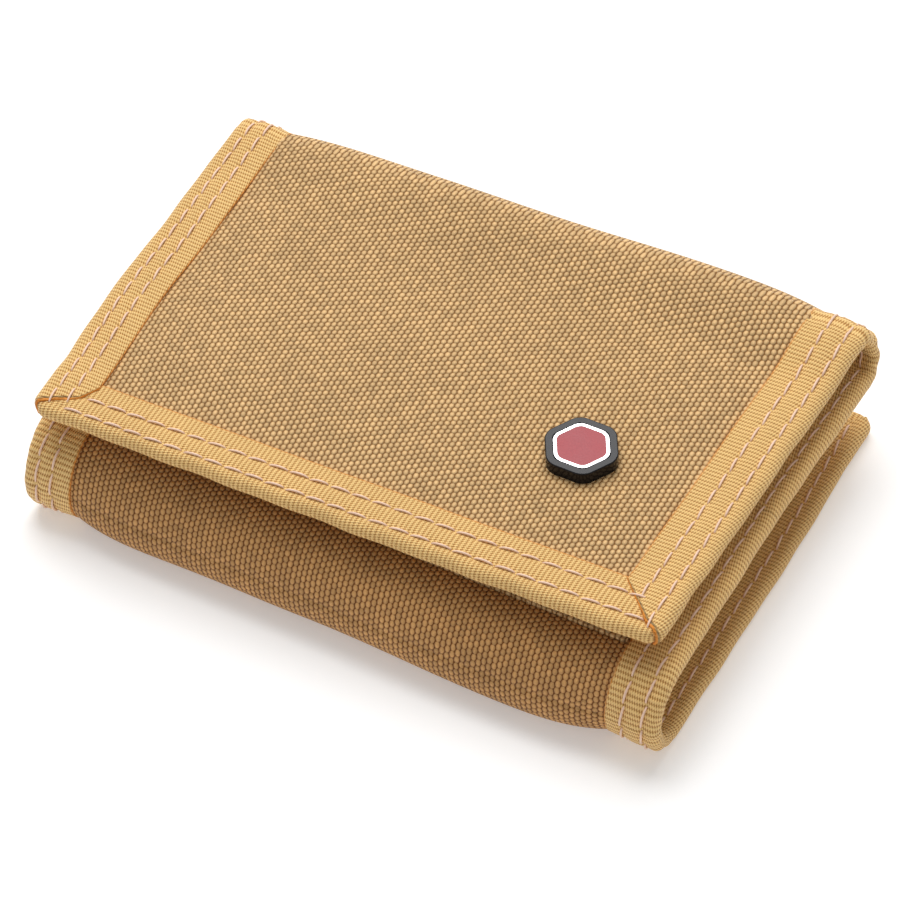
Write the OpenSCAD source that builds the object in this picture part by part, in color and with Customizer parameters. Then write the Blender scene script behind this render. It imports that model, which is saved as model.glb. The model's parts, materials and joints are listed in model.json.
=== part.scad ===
// Nylon folding wallet: three bound fabric panels stacked in a Z, joined by two soft folds.
// The bottom panel lies on the table, the middle panel is turned back over it at the front
// fold, and the cover flap is turned over both at the back fold.
// X runs along the width, Y from the front fold to the back, Z up. Millimetres.

/* [Closed wallet] */
// Width of the panels along the folds
wallet_w = 120; // [116:1:135]
// Depth from the front fold to the free back edge
wallet_d = 84; // [80:1:95]
// Height of the closed wallet to the top of the flap binding
wallet_h = 24.5; // [24.5:0.5:26]
// Height of the front fold, from the table to the top of the middle panel
front_fold_h = 17.5; // [17:0.5:18]
// How far the flap's free edge lies behind the front fold
flap_setback = 4; // [1:0.5:5]
// How far each side of the flap tapers in towards its free front edge
flap_taper = 2; // [0:0.5:3]
// How far the free back edge of the bottom panel stands out behind the back fold
back_overhang = 0; // [0:0.5:4]

/* [Bound edge] */
// Thickness of the binding tape
tape_t = 0.5; // [0.4:0.05:0.6]
// Width of the binding tape on each face of an edge
tape_w = 9.5; // [8:0.5:10]
// Thickness of the nylon fabric
fabric_t = 0.8; // [0.6:0.05:0.9]
// Thickness of the padding between the two fabrics
core_t = 0.4; // [0.3:0.05:0.6]

/* [Stitching] */
// Width of a stitched thread line
thread_w = 0.4; // [0.3:0.05:0.5]
// Depth of a thread line in the face that it is sewn into
thread_depth = 0.25; // [0.15:0.05:0.3]
// Distance of the outer stitch row from the bound edge
outer_row = 2.7; // [2:0.1:3.2]
// Distance of the inner stitch row from the bound edge
inner_row = 6.2; // [5:0.1:7]

/* [Badge] */
// Distance across the badge's corners
badge_across = 13; // [12:0.5:16]
// Height of the badge above the fabric
badge_h = 2.4; // [1.8:0.1:3]
// Badge centre along the width
badge_x = 29; // [-32:1:32]
// Badge centre along the depth
badge_y = -7; // [-12:0.5:20]

/* [Closure] */
// Length of the hook and loop strips
closure_l = 92; // [60:1:96]
// Width of the hook and loop strips
closure_w = 14; // [10:1:15]

/* [Card slots] */
// Number of card slots on the underside of the middle panel
card_slots = 3; // [1:1:3]
// Width of the card slots
card_slot_w = 100; // [90:1:100]
// Step between the mouths of neighbouring slots
card_slot_step = 8; // [6:0.5:9]

/* [Coin pocket] */
// Width of the coin pocket
coin_w = 100; // [84:1:100]
// Centre line of the zip along the depth
zip_y = 20; // [16:0.5:21]
// Length of the zip's pull tab from its pivot
pull_l = 7.4; // [6:0.1:7.5]

/* [Hidden] */

$fn = 96;
fabric_color = [0.72, 0.56, 0.36];
tape_color = [0.86, 0.68, 0.40];
thread_color = [0.90, 0.74, 0.62];
black_color = [0.05, 0.05, 0.06];

edge_t = 2 * tape_t + 2 * fabric_t + core_t;     // thickness of a bound edge
half_w = wallet_w / 2;
front_y = -wallet_d / 2;
back_y = wallet_d / 2;
free_gap = 0.1;                                   // clearance of the fabrics inside the tape
joint_gap = 0.3;                                  // gap between two bodies at a fold's mitre
big = 400;

// Depths of the layers below the face that a fold turns outwards
depth_1 = tape_t;
depth_2 = tape_t + fabric_t;
depth_3 = depth_2 + core_t;
depth_4 = depth_3 + fabric_t;

// Front fold: bottom panel to middle panel
front_r = front_fold_h / 2;
front_arc_y = front_y + front_r;
middle_top = front_fold_h;
middle_under = middle_top - edge_t;

// Back fold: middle panel to cover flap, as high as the two panels it joins
back_r = (wallet_h - middle_under) / 2;
back_fold_y = back_y - back_overhang;
back_arc_y = back_fold_y - back_r;
back_arc_z = wallet_h - back_r;

flap_front_y = front_y + flap_setback;
flap_under = wallet_h - edge_t;
flap_skin = wallet_h - tape_t;                    // top of the flap's fabric
middle_skin_top = middle_top - tape_t;
middle_skin_under = middle_under + tape_t;
bottom_skin_top = edge_t - tape_t;
pocket_top = middle_skin_top + fabric_t;          // top of the slip pocket on the middle panel
pocket_half = half_w - tape_w - 0.5;              // widest that a pocket is between the side tapes
card_half = min(card_slot_w / 2, pocket_half);
coin_half = min(coin_w / 2, pocket_half);

// ---- profiles across the folds, in the YZ plane ----

// Part of a ring between two angles, with half of the joint gap left off a cut end
module ring_sector(cy, cz, r_in, r_out, from, to, cut_from = false, cut_to = false) {
    reach = 3 * r_out;
    span = to - from;
    gap = joint_gap / 2;
    translate([cy, cz]) difference() {
        intersection() {
            difference() {
                circle(r = r_out);
                circle(r = r_in);
            }
            polygon([
                [0, 0],
                reach * [cos(from), sin(from)],
                reach * [cos(from + span / 2), sin(from + span / 2)],
                reach * [cos(to), sin(to)]
            ]);
        }
        if (cut_from) rotate(from) translate([0, -reach]) square([reach, reach + gap]);
        if (cut_to) rotate(to) translate([0, -gap]) square([reach, reach]);
    }
}

// Layer of the bottom panel between two depths, measured up from the table
module bottom_profile(a, b) {
    translate([front_arc_y, a]) square([wallet_d, b - a]);
    ring_sector(front_arc_y, front_r, front_r - b, front_r - a, 225, 270, cut_from = true);
}

// Layer of the front fold between two depths, measured in from its outer face
module front_fold_profile(a, b) {
    ring_sector(front_arc_y, front_r, front_r - b, front_r - a, 135, 225, cut_from = true, cut_to = true);
}

// Layer of the middle panel between two depths, measured down from its top face
module middle_profile(a, b) {
    ring_sector(front_arc_y, front_r, front_r - b, front_r - a, 90, 135, cut_to = true);
    translate([front_arc_y, middle_top - b]) square([back_arc_y - front_arc_y, b - a]);
    ring_sector(back_arc_y, back_arc_z, back_r - edge_t + a, back_r - edge_t + b, 270, 315, cut_to = true);
}

// Layer of the back fold between two depths, measured in from its outer face
module back_fold_profile(a, b) {
    ring_sector(back_arc_y, back_arc_z, back_r - b, back_r - a, -45, 45, cut_from = true, cut_to = true);
}

// Layer of the cover flap between two depths, measured down from its top face
module cover_profile(a, b) {
    translate([flap_front_y, wallet_h - b]) square([back_arc_y - flap_front_y, b - a]);
    ring_sector(back_arc_y, back_arc_z, back_r - b, back_r - a, 45, 90, cut_from = true);
}

// ---- outlines seen from above, inset from the bound edges by a distance ----

module bottom_outline(inset) {
    translate([-half_w + inset, -big]) square([wallet_w - 2 * inset, big + back_y - inset]);
}

module side_outline(inset) {
    square([wallet_w - 2 * inset, 2 * big], center = true);
}

module cover_outline(inset) {
    front = half_w - flap_taper - inset;
    back = half_w - inset;
    polygon([
        [-front, flap_front_y + inset], [front, flap_front_y + inset],
        [back, back_arc_y], [back, big], [-back, big], [-back, back_arc_y]
    ]);
}

// ---- building blocks ----

// First child is a YZ profile, second child is the outline seen from above
module shaped_layer() {
    intersection() {
        rotate([90, 0, 90]) linear_extrude(height = 2 * wallet_w, center = true) children(0);
        linear_extrude(height = big, center = true) children(1);
    }
}

module block(x0, x1, y0, y1, z0, z1) {
    translate([x0, y0, z0]) cube([x1 - x0, y1 - y0, z1 - z0]);
}

// A rectangular line of thread of the given outer size, lying from z0 to z1
module thread_frame(x0, x1, y0, y1, z0, z1) {
    difference() {
        block(x0, x1, y0, y1, z0, z1);
        block(x0 + thread_w, x1 - thread_w, y0 + thread_w, y1 - thread_w, z0 - 1, z1 + 1);
    }
}

function outer_faces() = [[0, thread_depth], [edge_t - thread_depth, edge_t]];
function rows() = [outer_row, inner_row];

// ---- bottom panel ----

module bottom_layer(a, b, inset) {
    shaped_layer() {
        bottom_profile(a, b);
        bottom_outline(inset);
    }
}

module bottom_stitching() {
    color(thread_color)
        for (row = rows(), face = outer_faces())
            difference() {
                bottom_layer(face[0], face[1], row - thread_w / 2);
                bottom_layer(face[0] - 1, face[1] + 1, row + thread_w / 2);
            }
}

module bottom_binding() {
    color(tape_color) difference() {
        bottom_layer(0, edge_t, 0);
        bottom_layer(depth_1, depth_4, tape_t);
        bottom_layer(-1, edge_t + 1, tape_w);
        bottom_stitching();
    }
}

module bottom_face_fabric() {
    color(fabric_color) bottom_layer(depth_1, depth_2, tape_t + free_gap);
}

module bottom_stiffener() {
    color("gainsboro") bottom_layer(depth_2, depth_3, tape_t + free_gap);
}

module bottom_lining() {
    color(fabric_color) bottom_layer(depth_3, depth_4, tape_t + free_gap);
}

// ---- front fold ----

module front_fold_layer(a, b, inset) {
    shaped_layer() {
        front_fold_profile(a, b);
        side_outline(inset);
    }
}

module front_fold_stitching() {
    color(thread_color)
        for (row = rows(), face = outer_faces())
            difference() {
                front_fold_layer(face[0], face[1], row - thread_w / 2);
                front_fold_layer(face[0] - 1, face[1] + 1, row + thread_w / 2);
            }
}

module front_fold_binding() {
    color(tape_color) difference() {
        front_fold_layer(0, edge_t, 0);
        front_fold_layer(depth_1, depth_4, tape_t);
        front_fold_layer(-1, edge_t + 1, tape_w);
        front_fold_stitching();
    }
}

module front_fold_face_fabric() {
    color(fabric_color) front_fold_layer(depth_1, depth_2, tape_t + free_gap);
}

module front_fold_lining() {
    color(fabric_color) front_fold_layer(depth_3, depth_4, tape_t + free_gap);
}

// ---- middle panel ----

module middle_layer(a, b, inset) {
    shaped_layer() {
        middle_profile(a, b);
        side_outline(inset);
    }
}

module middle_stitching() {
    color(thread_color)
        for (row = rows(), face = outer_faces())
            difference() {
                middle_layer(face[0], face[1], row - thread_w / 2);
                middle_layer(face[0] - 1, face[1] + 1, row + thread_w / 2);
            }
}

module middle_binding() {
    color(tape_color) difference() {
        middle_layer(0, edge_t, 0);
        middle_layer(depth_1, depth_4, tape_t);
        middle_layer(-1, edge_t + 1, tape_w);
        middle_stitching();
    }
}

module middle_face_fabric() {
    color(fabric_color) middle_layer(depth_1, depth_2, tape_t + free_gap);
}

module middle_stiffener() {
    color("gainsboro") middle_layer(depth_2, depth_3, tape_t + free_gap);
}

module middle_lining() {
    color(fabric_color) middle_layer(depth_3, depth_4, tape_t + free_gap);
}

// ---- back fold ----

module back_fold_layer(a, b, inset) {
    shaped_layer() {
        back_fold_profile(a, b);
        side_outline(inset);
    }
}

module back_fold_stitching() {
    color(thread_color)
        for (row = rows(), face = outer_faces())
            difference() {
                back_fold_layer(face[0], face[1], row - thread_w / 2);
                back_fold_layer(face[0] - 1, face[1] + 1, row + thread_w / 2);
            }
}

module back_fold_binding() {
    color(tape_color) difference() {
        back_fold_layer(0, edge_t, 0);
        back_fold_layer(depth_1, depth_4, tape_t);
        back_fold_layer(-1, edge_t + 1, tape_w);
        back_fold_stitching();
    }
}

module back_fold_face_fabric() {
    color(fabric_color) back_fold_layer(depth_1, depth_2, tape_t + free_gap);
}

module back_fold_lining() {
    color(fabric_color) back_fold_layer(depth_3, depth_4, tape_t + free_gap);
}

// ---- cover flap ----

module cover_layer(a, b, inset) {
    shaped_layer() {
        cover_profile(a, b);
        cover_outline(inset);
    }
}

module cover_stitching() {
    color(thread_color)
        for (row = rows(), face = outer_faces())
            difference() {
                cover_layer(face[0], face[1], row - thread_w / 2);
                cover_layer(face[0] - 1, face[1] + 1, row + thread_w / 2);
            }
}

module cover_binding() {
    color(tape_color) difference() {
        cover_layer(0, edge_t, 0);
        cover_layer(depth_1, depth_4, tape_t);
        cover_layer(-1, edge_t + 1, tape_w);
        cover_stitching();
    }
}

module cover_face_fabric() {
    color(fabric_color) difference() {
        cover_layer(depth_1, depth_2, tape_t + free_gap);
        prong_holes();
        backing_recess();
    }
}

module cover_padding() {
    color("gainsboro") difference() {
        cover_layer(depth_2, depth_3, tape_t + free_gap);
        backing_recess();
    }
}

module cover_lining() {
    color(fabric_color) difference() {
        cover_layer(depth_3, depth_4, tape_t + free_gap);
        backing_recess();
    }
}

// ---- badge: a plain six-sided button with an enamelled face ----

prong_r = 0.6;
prong_spacing = 6;
backing_r = 5.5;
backing_t = 0.3;
badge_recess = 0.5;
badge_face_r = badge_across / 2 - 1.5;
badge_frame_w = 0.6;
backing_top = wallet_h - depth_2;

// Six-sided plate with its corners rounded by the cylinder that it is cut from
module rounded_hexagon(across, h) {
    intersection() {
        cylinder(r = across / 2, h = h);
        cylinder(r = across / 2 + 0.5, h = h, $fn = 6);
    }
}

module at_badge(z) {
    translate([badge_x, badge_y, z]) children();
}

module prongs(r) {
    at_badge(backing_top - backing_t)
        for (side = [-1, 1])
            translate([side * prong_spacing / 2, 0, 0])
                cylinder(r = r, h = flap_skin - backing_top + backing_t);
}

module prong_holes() {
    prongs(prong_r + 0.05);
}

module backing_recess() {
    at_badge(backing_top - backing_t - 0.05) cylinder(r = backing_r + 0.1, h = backing_t + 0.05);
}

module badge_base() {
    color(black_color) {
        difference() {
            at_badge(flap_skin) rounded_hexagon(badge_across, badge_h);
            at_badge(flap_skin + badge_h - badge_recess) rounded_hexagon(2 * badge_face_r, badge_recess + 1);
        }
        prongs(prong_r);
    }
}

module badge_frame() {
    color("silver") at_badge(flap_skin + badge_h - badge_recess) difference() {
        rounded_hexagon(2 * badge_face_r, badge_recess);
        translate([0, 0, -1]) rounded_hexagon(2 * (badge_face_r - badge_frame_w), badge_recess + 2);
    }
}

module badge_enamel() {
    color([0.72, 0.25, 0.30]) at_badge(flap_skin + badge_h - badge_recess)
        rounded_hexagon(2 * (badge_face_r - badge_frame_w), badge_recess - 0.05);
}

module badge_backing_plate() {
    color("silver") difference() {
        at_badge(backing_top - backing_t) cylinder(r = backing_r, h = backing_t);
        prong_holes();
    }
}

// ---- slip pocket on the top of the middle panel, which carries the loop strip and the window ----

module slip_pocket() {
    color(fabric_color) block(-pocket_half, pocket_half, front_arc_y, back_arc_y, middle_skin_top, pocket_top);
}

// ---- hook and loop closure between the flap and the middle panel ----

closure_y = flap_front_y + tape_w + 0.5;
hook_t = 1.7;
loop_top = flap_under + tape_t - hook_t - joint_gap;
closure_inset = 1.2;
closure_thread = 0.2;

module hook_strip_stitching() {
    color(thread_color) thread_frame(
        -closure_l / 2 + closure_inset, closure_l / 2 - closure_inset,
        closure_y + closure_inset, closure_y + closure_w - closure_inset,
        flap_under + tape_t - hook_t, flap_under + tape_t - hook_t + closure_thread);
}

module hook_strip() {
    color([0.66, 0.50, 0.30]) difference() {
        block(-closure_l / 2, closure_l / 2, closure_y, closure_y + closure_w,
              flap_under + tape_t - hook_t, flap_under + tape_t);
        hook_strip_stitching();
    }
}

module loop_strip_stitching() {
    color(thread_color) thread_frame(
        -closure_l / 2 + closure_inset, closure_l / 2 - closure_inset,
        closure_y + closure_inset, closure_y + closure_w - closure_inset,
        loop_top - closure_thread, loop_top);
}

module loop_strip() {
    color([0.70, 0.54, 0.34]) difference() {
        block(-closure_l / 2, closure_l / 2, closure_y, closure_y + closure_w, pocket_top, loop_top);
        loop_strip_stitching();
    }
}

// ---- clear window on the middle panel, under the flap ----

window_y0 = closure_y + closure_w + 3;
window_y1 = back_arc_y - 3;
window_half = 47;
window_film_t = 0.3;
window_frame_w = 6;

module window_film() {
    color([0.9, 0.95, 1, 0.4]) block(-window_half + 1, window_half - 1, window_y0 + 1, window_y1 - 1,
                                     pocket_top, pocket_top + window_film_t);
}

module window_frame() {
    frame_z = pocket_top + window_film_t;
    color(tape_color) difference() {
        block(-window_half, window_half, window_y0, window_y1, frame_z, frame_z + tape_t);
        block(-window_half + window_frame_w, window_half - window_frame_w,
              window_y0 + window_frame_w, window_y1 - window_frame_w, frame_z - 1, frame_z + 2);
    }
}

// ---- card slots under the middle panel, the deepest one first ----

card_y0 = front_arc_y + 2;
card_panel_t = 0.6;
card_edge_t = 1.2;
card_edge_w = 5;
card_pitch = 1.25;
card_first_mouth = zip_y - 4;

function card_mouth(n) = card_first_mouth - (n - 1) * card_slot_step;
function card_z(n) = middle_skin_under - card_edge_t / 2 - 0.05 - (n - 1) * card_pitch;

module card_slot_panel(n) {
    color(fabric_color) block(-card_half, card_half, card_y0, card_mouth(n) - 0.4,
                              card_z(n) - card_panel_t / 2, card_z(n) + card_panel_t / 2);
}

module card_slot_edge(n) {
    color(tape_color) difference() {
        block(-card_half, card_half, card_mouth(n) - card_edge_w, card_mouth(n),
              card_z(n) - card_edge_t / 2, card_z(n) + card_edge_t / 2);
        block(-2 * card_half, 2 * card_half, card_mouth(n) - card_edge_w - 1, card_mouth(n) - 0.4,
              card_z(n) - card_panel_t / 2, card_z(n) + card_panel_t / 2);
    }
}

module card_slot_stitching() {
    side_x = card_half - 1.6;
    tier_bottom = card_z(card_slots) - card_panel_t / 2;
    color(thread_color) {
        for (side = [-1, 1])
            translate([side * side_x, 0, 0])
                block(-thread_w / 2, thread_w / 2, card_y0 + 1, card_mouth(card_slots) - card_edge_w,
                      tier_bottom - thread_depth, tier_bottom);
        for (n = [1 : card_slots])
            block(-side_x, side_x, card_mouth(n) - card_edge_w + 1, card_mouth(n) - card_edge_w + 1 + thread_w,
                  card_z(n) - card_edge_t / 2 - thread_depth, card_z(n) - card_edge_t / 2);
    }
}

// ---- zipped coin pocket on the bottom panel ----

coin_y0 = front_arc_y + 2;
coin_y1 = back_y - tape_w - 1;
coin_panel_z = 4.6;
coin_top = coin_panel_z + fabric_t;
zip_mouth = 2.4;
bag_t = 0.3;
bag_z = bottom_skin_top;
gusset_t = 1;

module coin_pocket_bag() {
    color("tan") block(-coin_half + gusset_t, coin_half - gusset_t, coin_y0 + gusset_t, coin_y1 - gusset_t,
                       bag_z, bag_z + bag_t);
}

module coin_pocket_gusset() {
    inner_x = coin_half - gusset_t;
    color(fabric_color) {
        for (side = [-1, 1])
            translate([side * (inner_x + gusset_t / 2), 0, 0])
                block(-gusset_t / 2, gusset_t / 2, coin_y0, coin_y1, bag_z, coin_panel_z);
        block(-inner_x, inner_x, coin_y0, coin_y0 + gusset_t, bag_z, coin_panel_z);
        block(-inner_x, inner_x, coin_y1 - gusset_t, coin_y1, bag_z, coin_panel_z);
    }
}

module coin_pocket_front() {
    color(fabric_color) block(-coin_half, coin_half, coin_y0, zip_y - zip_mouth, coin_panel_z, coin_top);
}

module coin_pocket_top_strip() {
    color(fabric_color) block(-coin_half, coin_half, zip_y + zip_mouth, coin_y1, coin_panel_z, coin_top);
}

module coin_pocket_stitching() {
    inset = 1.6;
    color(thread_color) {
        for (side = [-1, 1])
            block(-zip_half, zip_half, zip_y + side * (zip_mouth + inset) - thread_w / 2,
                  zip_y + side * (zip_mouth + inset) + thread_w / 2, coin_top, coin_top + thread_depth);
        difference() {
            thread_frame(-coin_half + inset, coin_half - inset, coin_y0 + inset, coin_y1 - inset,
                         coin_top, coin_top + thread_depth);
            block(-big, big, zip_y - zip_mouth, zip_y + zip_mouth, coin_top - 1, coin_top + 1);
        }
    }
}

// ---- zip ----

zip_half = coin_half - 2;
zip_tape_t = 0.3;
zip_tape_w = 4.5;
coil_r = 0.6;
coil_offset = 0.9;
coil_z = coin_panel_z + 0.15;
stop_l = 1.5;

module zip_tapes() {
    inner = coil_offset + coil_r;
    color([0.60, 0.44, 0.26])
        for (side = [-1, 1])
            translate([0, zip_y + side * (inner + zip_tape_w / 2), 0])
                block(-zip_half, zip_half, -zip_tape_w / 2, zip_tape_w / 2, coin_panel_z - zip_tape_t, coin_panel_z);
}

module zip_coils() {
    length = 2 * (zip_half - stop_l - 0.1);
    color([0.45, 0.33, 0.20])
        for (side = [-1, 1])
            translate([-length / 2, zip_y + side * coil_offset, coil_z])
                rotate([0, 90, 0]) cylinder(r = coil_r, h = length, $fn = 24);
}

module zip_stops() {
    color("silver")
        for (side = [-1, 1])
            translate([side * (zip_half - stop_l / 2), zip_y, coil_z])
                cube([stop_l, 2 * (coil_offset + coil_r), 2 * coil_r + 0.2], center = true);
}

// Slider at the closed end of the zip, with an arch that the pull tab's bar turns in
slider_x = 8 - zip_half;
slider_l = 9;
slider_half_w = 3.2;
plate_low_z = 3.1;
plate_t = 0.7;
plate_high_z = coin_top + 0.2;
arch_z = plate_high_z + plate_t;
arch_h = 1.8;
pivot_z = arch_z + 0.65;
bar_r = 0.4;

module zip_slider_body() {
    color([0.12, 0.12, 0.13]) translate([slider_x, zip_y, 0]) {
        for (z = [plate_low_z, plate_high_z])
            block(-slider_l / 2, slider_l / 2, -slider_half_w, slider_half_w, z, z + plate_t);
        block(-slider_l / 2 + 0.5, -slider_l / 2 + 3.5, -0.2, 0.2, plate_low_z + plate_t - 0.1, plate_high_z + 0.1);
        difference() {
            block(-3, 3, -0.9, 0.9, arch_z, arch_z + arch_h);
            block(-2.1, 2.1, -2, 2, arch_z - 1, arch_z + arch_h - 0.6);
        }
    }
}

module zip_pull_tab() {
    arm_l = 4.2;
    color([0.12, 0.12, 0.13]) translate([slider_x, zip_y, pivot_z]) {
        rotate([90, 0, 0]) cylinder(r = bar_r, h = 4.2, center = true, $fn = 32);
        for (side = [-1, 1])
            translate([0, side * 1.7, 0]) block(0, arm_l, -0.4, 0.4, -bar_r, bar_r);
        block(arm_l - 0.2, pull_l, -2.5, 2.5, -0.45, 0.45);
    }
}

cover_face_fabric();
cover_padding();
cover_lining();
cover_binding();
cover_stitching();
badge_base();
badge_frame();
badge_enamel();
badge_backing_plate();
hook_strip();
hook_strip_stitching();
back_fold_face_fabric();
back_fold_lining();
back_fold_binding();
back_fold_stitching();
middle_face_fabric();
middle_stiffener();
middle_lining();
middle_binding();
middle_stitching();
slip_pocket();
loop_strip();
loop_strip_stitching();
window_film();
window_frame();
card_slot_panel(1);  // card_slot_1
card_slot_panel(2);  // card_slot_2
card_slot_panel(3);  // card_slot_3
card_slot_edge(1);  // card_slot_1_edge
card_slot_edge(2);  // card_slot_2_edge
card_slot_edge(3);  // card_slot_3_edge
card_slot_stitching();
front_fold_face_fabric();
front_fold_lining();
front_fold_binding();
front_fold_stitching();
bottom_face_fabric();
bottom_stiffener();
bottom_lining();
bottom_binding();
bottom_stitching();
coin_pocket_bag();
coin_pocket_gusset();
coin_pocket_front();
coin_pocket_top_strip();
coin_pocket_stitching();
zip_tapes();
zip_coils();
zip_stops();
zip_slider_body();
zip_pull_tab();
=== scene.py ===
"""Looks of a folding fabric wallet, with its binding, stitching, badge, pockets and zip.

The wallet is one long strip: bottom panel, front fold, middle panel, back fold, cover flap. Every
soft piece is laid out on that strip by x (across), s (along, from the bottom panel's free edge)
and n (height on it).
"""

import json
import logging
import math
from dataclasses import dataclass, field
from enum import Enum
from typing import Callable, Iterable, Optional, Sequence

import bpy
import numpy as np
from mathutils import Matrix, Vector

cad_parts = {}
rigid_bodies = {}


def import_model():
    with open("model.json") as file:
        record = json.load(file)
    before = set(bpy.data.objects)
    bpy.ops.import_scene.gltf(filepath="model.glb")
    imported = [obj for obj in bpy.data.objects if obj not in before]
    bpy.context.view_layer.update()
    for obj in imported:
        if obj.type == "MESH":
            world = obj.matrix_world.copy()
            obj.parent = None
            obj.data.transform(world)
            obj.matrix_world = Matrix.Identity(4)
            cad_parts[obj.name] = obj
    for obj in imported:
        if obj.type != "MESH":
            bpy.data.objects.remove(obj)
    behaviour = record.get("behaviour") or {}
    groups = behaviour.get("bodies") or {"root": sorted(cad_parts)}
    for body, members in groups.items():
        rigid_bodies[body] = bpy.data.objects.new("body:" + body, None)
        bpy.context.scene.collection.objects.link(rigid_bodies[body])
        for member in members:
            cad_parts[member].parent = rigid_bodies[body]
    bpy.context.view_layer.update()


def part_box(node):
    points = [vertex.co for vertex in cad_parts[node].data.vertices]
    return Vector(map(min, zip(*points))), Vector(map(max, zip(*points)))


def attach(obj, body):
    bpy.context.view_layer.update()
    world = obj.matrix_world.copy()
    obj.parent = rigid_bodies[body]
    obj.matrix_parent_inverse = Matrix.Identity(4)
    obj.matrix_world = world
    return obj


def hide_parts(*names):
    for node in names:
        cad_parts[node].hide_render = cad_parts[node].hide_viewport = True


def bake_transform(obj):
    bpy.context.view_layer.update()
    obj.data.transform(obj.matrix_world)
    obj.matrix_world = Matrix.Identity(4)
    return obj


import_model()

MM = 0.001
LOG = logging.getLogger("wallet")
Array = np.ndarray
Color = tuple[float, float, float]

# All in millimetres. A bound edge is a U of tape: its leaves lie on the two faces of the strip.
HALF_EDGE = 1.5
CLOTH_N = 0.95
TAPE_WIDTH = 9.5
TAPE_THICKNESS = 0.42
TAPE_PITCH = 0.52
# The inner row's stitches sit this far along from the outer row's.
ROW_SHIFT = 1.3
STITCH_PITCH = 3.95
STITCH_LENGTH = 3.45
STITCH_LEVEL = HALF_EDGE + 0.02
# The last stretch of a side tape slides to a slanted end. A shorter one rises over the end tape.
MITRE = 16.0
CROSSING = 13.6
CROSSING_LIFT = 0.25
# What is narrower than this is a plain piece; for a wider sheet only its rests_on list is read.
LEAST_SHEET = 10.0
# End rows count their stitches from this far left of the middle.
END_ROW_START = 70.0


class Face(Enum):
    """The two faces of the strip: UPPER is the cover flap's outside, UNDER is the other."""

    UPPER = 1
    UNDER = -1


class Side(Enum):
    """The two long edges of the strip."""

    LEFT = -1
    RIGHT = 1

    @property
    def rows(self) -> tuple[float, float]:
        """How far in from the edge the two stitch rows run."""
        return (2.9, 5.8) if self is Side.LEFT else (2.8, 6.5)

    def leaf(self, s: Array) -> Array:
        """Width of the binding tape's leaf along the strip, in millimetres."""
        extra = 0.9 if self is Side.RIGHT else 0.0
        return TAPE_WIDTH + extra * rise(s, STRIP.marks[2] - 6.0, 12.0)


def smooth(t: Array) -> Array:
    """Smoothstep of t, held to 0 and 1 outside that range."""
    t = np.clip(t, 0.0, 1.0)
    return t * t * (3.0 - 2.0 * t)


def rise(t: Array, start: float, length: float) -> Array:
    """Smoothstep that leaves 0 at a start and reaches 1 one length later."""
    return smooth((t - start) / length)


def fall(t: Array, end: float, length: float) -> Array:
    """Smoothstep that leaves 1 one length before an end and reaches 0 at it."""
    return smooth((end - t) / length)


def hump(t: Array, centre: Array | float, width: float) -> Array:
    """A bell of height 1 around a centre."""
    return np.exp(-(((t - centre) / width) ** 2))


def nearness(distance: Array, reach: float, power: float) -> Array:
    """A share that falls from 1 at no distance to 0 at a reach."""
    return np.clip(1.0 - distance / reach, 0.0, 1.0) ** power


def lattice(column: Array, row: Array) -> tuple[Array, Array]:
    """Two arrays of columns times rows, from what changes along each."""
    zeros = np.zeros((column.size, row.size))
    return column[:, None] + zeros, row[None, :] + zeros


def box_mm(node: str) -> tuple[Vector, Vector]:
    """Lowest and highest corner of a CAD node in millimetres."""
    low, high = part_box(node)
    return low / MM, high / MM


# ---------------------------------------------------------------- the strip


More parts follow.
